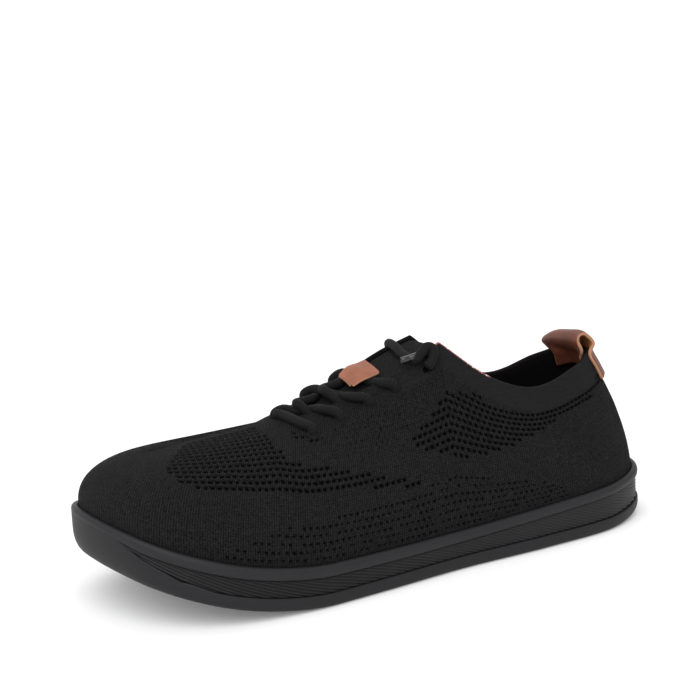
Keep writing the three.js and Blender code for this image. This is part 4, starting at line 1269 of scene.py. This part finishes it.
def lace_tip():
    hidden = beside_top_hole(-2.2, KNOT_RISE + 1.6, 1.2)
    path, _ = smooth_path([hidden, tip_at(-0.6), tip_at(TIP_STUB / 2), tip_at(TIP_STUB + 0.6)], 24)
    points, faces, uv = tube(path, np.linspace(1.9, AGLET / 2 - 0.15, 24), 14)
    stub = make_mesh("lace_tip_braid", points, faces, [BRAID], uv)
    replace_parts(stub, "lace_tip")
    ends = tip_at(TIP_STUB + GAP), tip_at(TIP_STUB + GAP + AGLET_LENGTH)
    path = np.array([mix(*ends, t) for t in (0, 0.01, 0.04, 0.3, 0.5, 0.52, 0.56, 0.58, 0.8, 0.965, 0.99, 1.0, 0.999, 0.97, 0.8)])
    radius = np.array([1.32, 1.5, 1.6, 1.58, 1.56, 1.42, 1.42, 1.56, 1.55, 1.55, 1.5, 1.38, 1.15, 1.05, 1.0])
    tangent = (ends[1] - ends[0]) / np.linalg.norm(ends[1] - ends[0])
    side = np.cross(tangent, [0, 0, 1.0])
    side /= np.linalg.norm(side)
    up = np.cross(side, tangent)
    sides = 24
    angles = 2 * math.pi * np.arange(sides) / sides
    round_way = side * np.cos(angles)[:, None] + up * np.sin(angles)[:, None]
    rings = path[:, None] + round_way[None] * radius[:, None, None]
    faces = grid_faces(len(path), sides, close_columns=True)
    core = len(path) * sides
    last = core - sides
    fan = [[last + i, last + (i + 1) % sides, last + (i + 2) % sides, core] for i in range(0, sides, 2)]
    points = np.vstack([rings.reshape(-1, 3), path[-1:]])
    piece = make_mesh("aglet_tube", points, np.vstack([faces, fan]), [METAL])
    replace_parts(piece, "aglet")


lace_tip()

# Leather keeper over the laces
PATCH = 1.1
PATCH_STATIONS = (5.14, 4.76)
PATCH_SHARES = (0.12, 0.86)


def patch():
    rows, columns = 16, 14
    face = []
    for s in np.linspace(*PATCH_STATIONS, rows):
        for share in np.linspace(*PATCH_SHARES, columns):
            over_lace = math.exp(-(((s - 4.99) / 0.12) ** 2) - ((share - 0.62) / 0.42) ** 2)
            face.append(tongue_face(s, share, 4.6 + 2.6 * over_lace))
    face = np.array(face).reshape(rows, columns, 3)
    middle = face[1:-1, 1:-1].mean((0, 1))
    for i, j in ((0, 0), (0, -1), (-1, 0), (-1, -1)):
        face[i, j] = mix(face[i, j], middle, 0.07)
    normal = sheet_normals(face)
    normal *= np.sign(normal[..., 2].mean())
    piece = slab("patch_leather", face, -normal, PATCH, [LEATHER_PATCH, LEATHER_EDGE],
                 face_material=(0, 0, 1))
    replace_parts(piece, "tongue_patch")


patch()

# Pull loop at the heel
LOOP = 1.6
LOOP_INSIDE = 8.0
LOOP_OUTSIDE = 14.0
LOOP_HEIGHT = 11.2
LOOP_REACH = 9.0
LOOP_CLEARANCE = 0.6
LOOP_SPREAD = 1.25
LOOP_BASE = 0.75
LOOP_ARCH = ((0.8, 0.23), (1, 0.625), (0.89, 0.91), (0.51, 1), (0.16, 0.82), (-0.16, 0.45))
LOOP_TILT = (0.4, -0.28)


def pull_loop():
    ridge = Spot(LOOP_BASE, 1, 0).point[0]
    columns = []
    for station in np.linspace(LOOP_SPREAD, -LOOP_SPREAD - 0.2, 19):
        side = 1 if station > 0 else -1
        at = abs(station) + 1e-3
        inside = [Spot(at, side, d).off(-KNIT_WALL - LOOP_CLEARANCE - LOOP) for d in (LOOP_INSIDE, LOOP_INSIDE / 2, 0.5)]
        top = Spot(at, side, 0).point
        inner = (LOOP_SPREAD - station) / (2 * LOOP_SPREAD)
        arch = [(ridge + f * LOOP_REACH * (1 + LOOP_TILT[0] * inner), top[1], top[2] + u * LOOP_HEIGHT * (1 + LOOP_TILT[1] * inner))
                for f, u in LOOP_ARCH]
        outside = [Spot(at, side, d).off(COLLAR_STEP + 0.2 + LOOP) for d in (0.5, LOOP_OUTSIDE / 2, LOOP_OUTSIDE)]
        path, _ = smooth_path(inside + [np.array(p) for p in arch] + outside, 64)
        columns.append(path)
    face = np.array(columns).transpose(1, 0, 2)
    normal = sheet_normals(face)
    middle = face[32, 9]
    if normal[32, 9] @ (middle - face[0, 9]) < 0:
        normal = -normal
    piece = slab("pull_loop_strap", face, -normal, LOOP, [LEATHER_LOOP, LEATHER_BACK, LEATHER_EDGE],
                 round_edge=0.25, face_material=(0, 1, 2))
    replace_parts(piece, "pull_loop")


pull_loop()


def fix_normals():
    """Turns every added mesh's faces out."""
    import bmesh
    for piece in bpy.data.objects:
        if piece.type != "MESH" or "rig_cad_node" in piece:
            continue
        work = bmesh.new()
        work.from_mesh(piece.data)
        bmesh.ops.recalc_face_normals(work, faces=work.faces)
        work.to_mesh(piece.data)
        work.free()


fix_normals()


# Floor, backdrop and studio light
def stage():
    """Pale floor that turns up into a backdrop, with two wide soft suns."""
    profile = [(5.0, 0.0), (-2.0, 0.0)]
    profile += [(-2.0 - math.sin(a), 1.0 - math.cos(a)) for a in np.linspace(0.1, math.pi / 2, 12)] + [(-3.0, 4.0)]
    points = [(side * 6.0, y, z) for y, z in profile for side in (-1, 1)]
    faces = [(2 * i, 2 * i + 1, 2 * i + 3, 2 * i + 2) for i in range(len(profile) - 1)]
    mesh = bpy.data.meshes.new("floor")
    mesh.from_pydata(points, [], faces)
    mesh.polygons.foreach_set("use_smooth", np.ones(len(faces), bool))
    material, tree, shader = new_material("floor_white")
    shader.inputs["Base Color"].default_value = grey(0.82)
    shader.inputs["Roughness"].default_value = 0.9
    shader.inputs["Specular IOR Level"].default_value = 0.0
    shader.inputs["Emission Color"].default_value = (1, 1, 1, 1)
    shader.inputs["Emission Strength"].default_value = 0.12
    mesh.materials.append(material)
    floor = bpy.data.objects.new("floor", mesh)
    bpy.context.scene.collection.objects.link(floor)
    world = bpy.data.worlds.new("studio")
    bpy.context.scene.world = world
    world.use_nodes = True
    world.node_tree.nodes["Background"].inputs[0].default_value = (1, 1, 1, 1)
    world.node_tree.nodes["Background"].inputs[1].default_value = 0.68
    for name, place, power in (("key", (0.55, 0.6, 1.0), 2.2), ("back", (-0.3, -0.8, 1.0), 0.8)):
        data = bpy.data.lights.new(name, "SUN")
        data.energy = power
        data.angle = math.radians(70)
        lamp = bpy.data.objects.new(name, data)
        lamp.location = place
        lamp.rotation_euler = (-Vector(place)).to_track_quat("-Z", "Y").to_euler()
        bpy.context.scene.collection.objects.link(lamp)
    view = bpy.context.scene.view_settings
    view.view_transform = "Standard"
    view.look = "None"


stage()
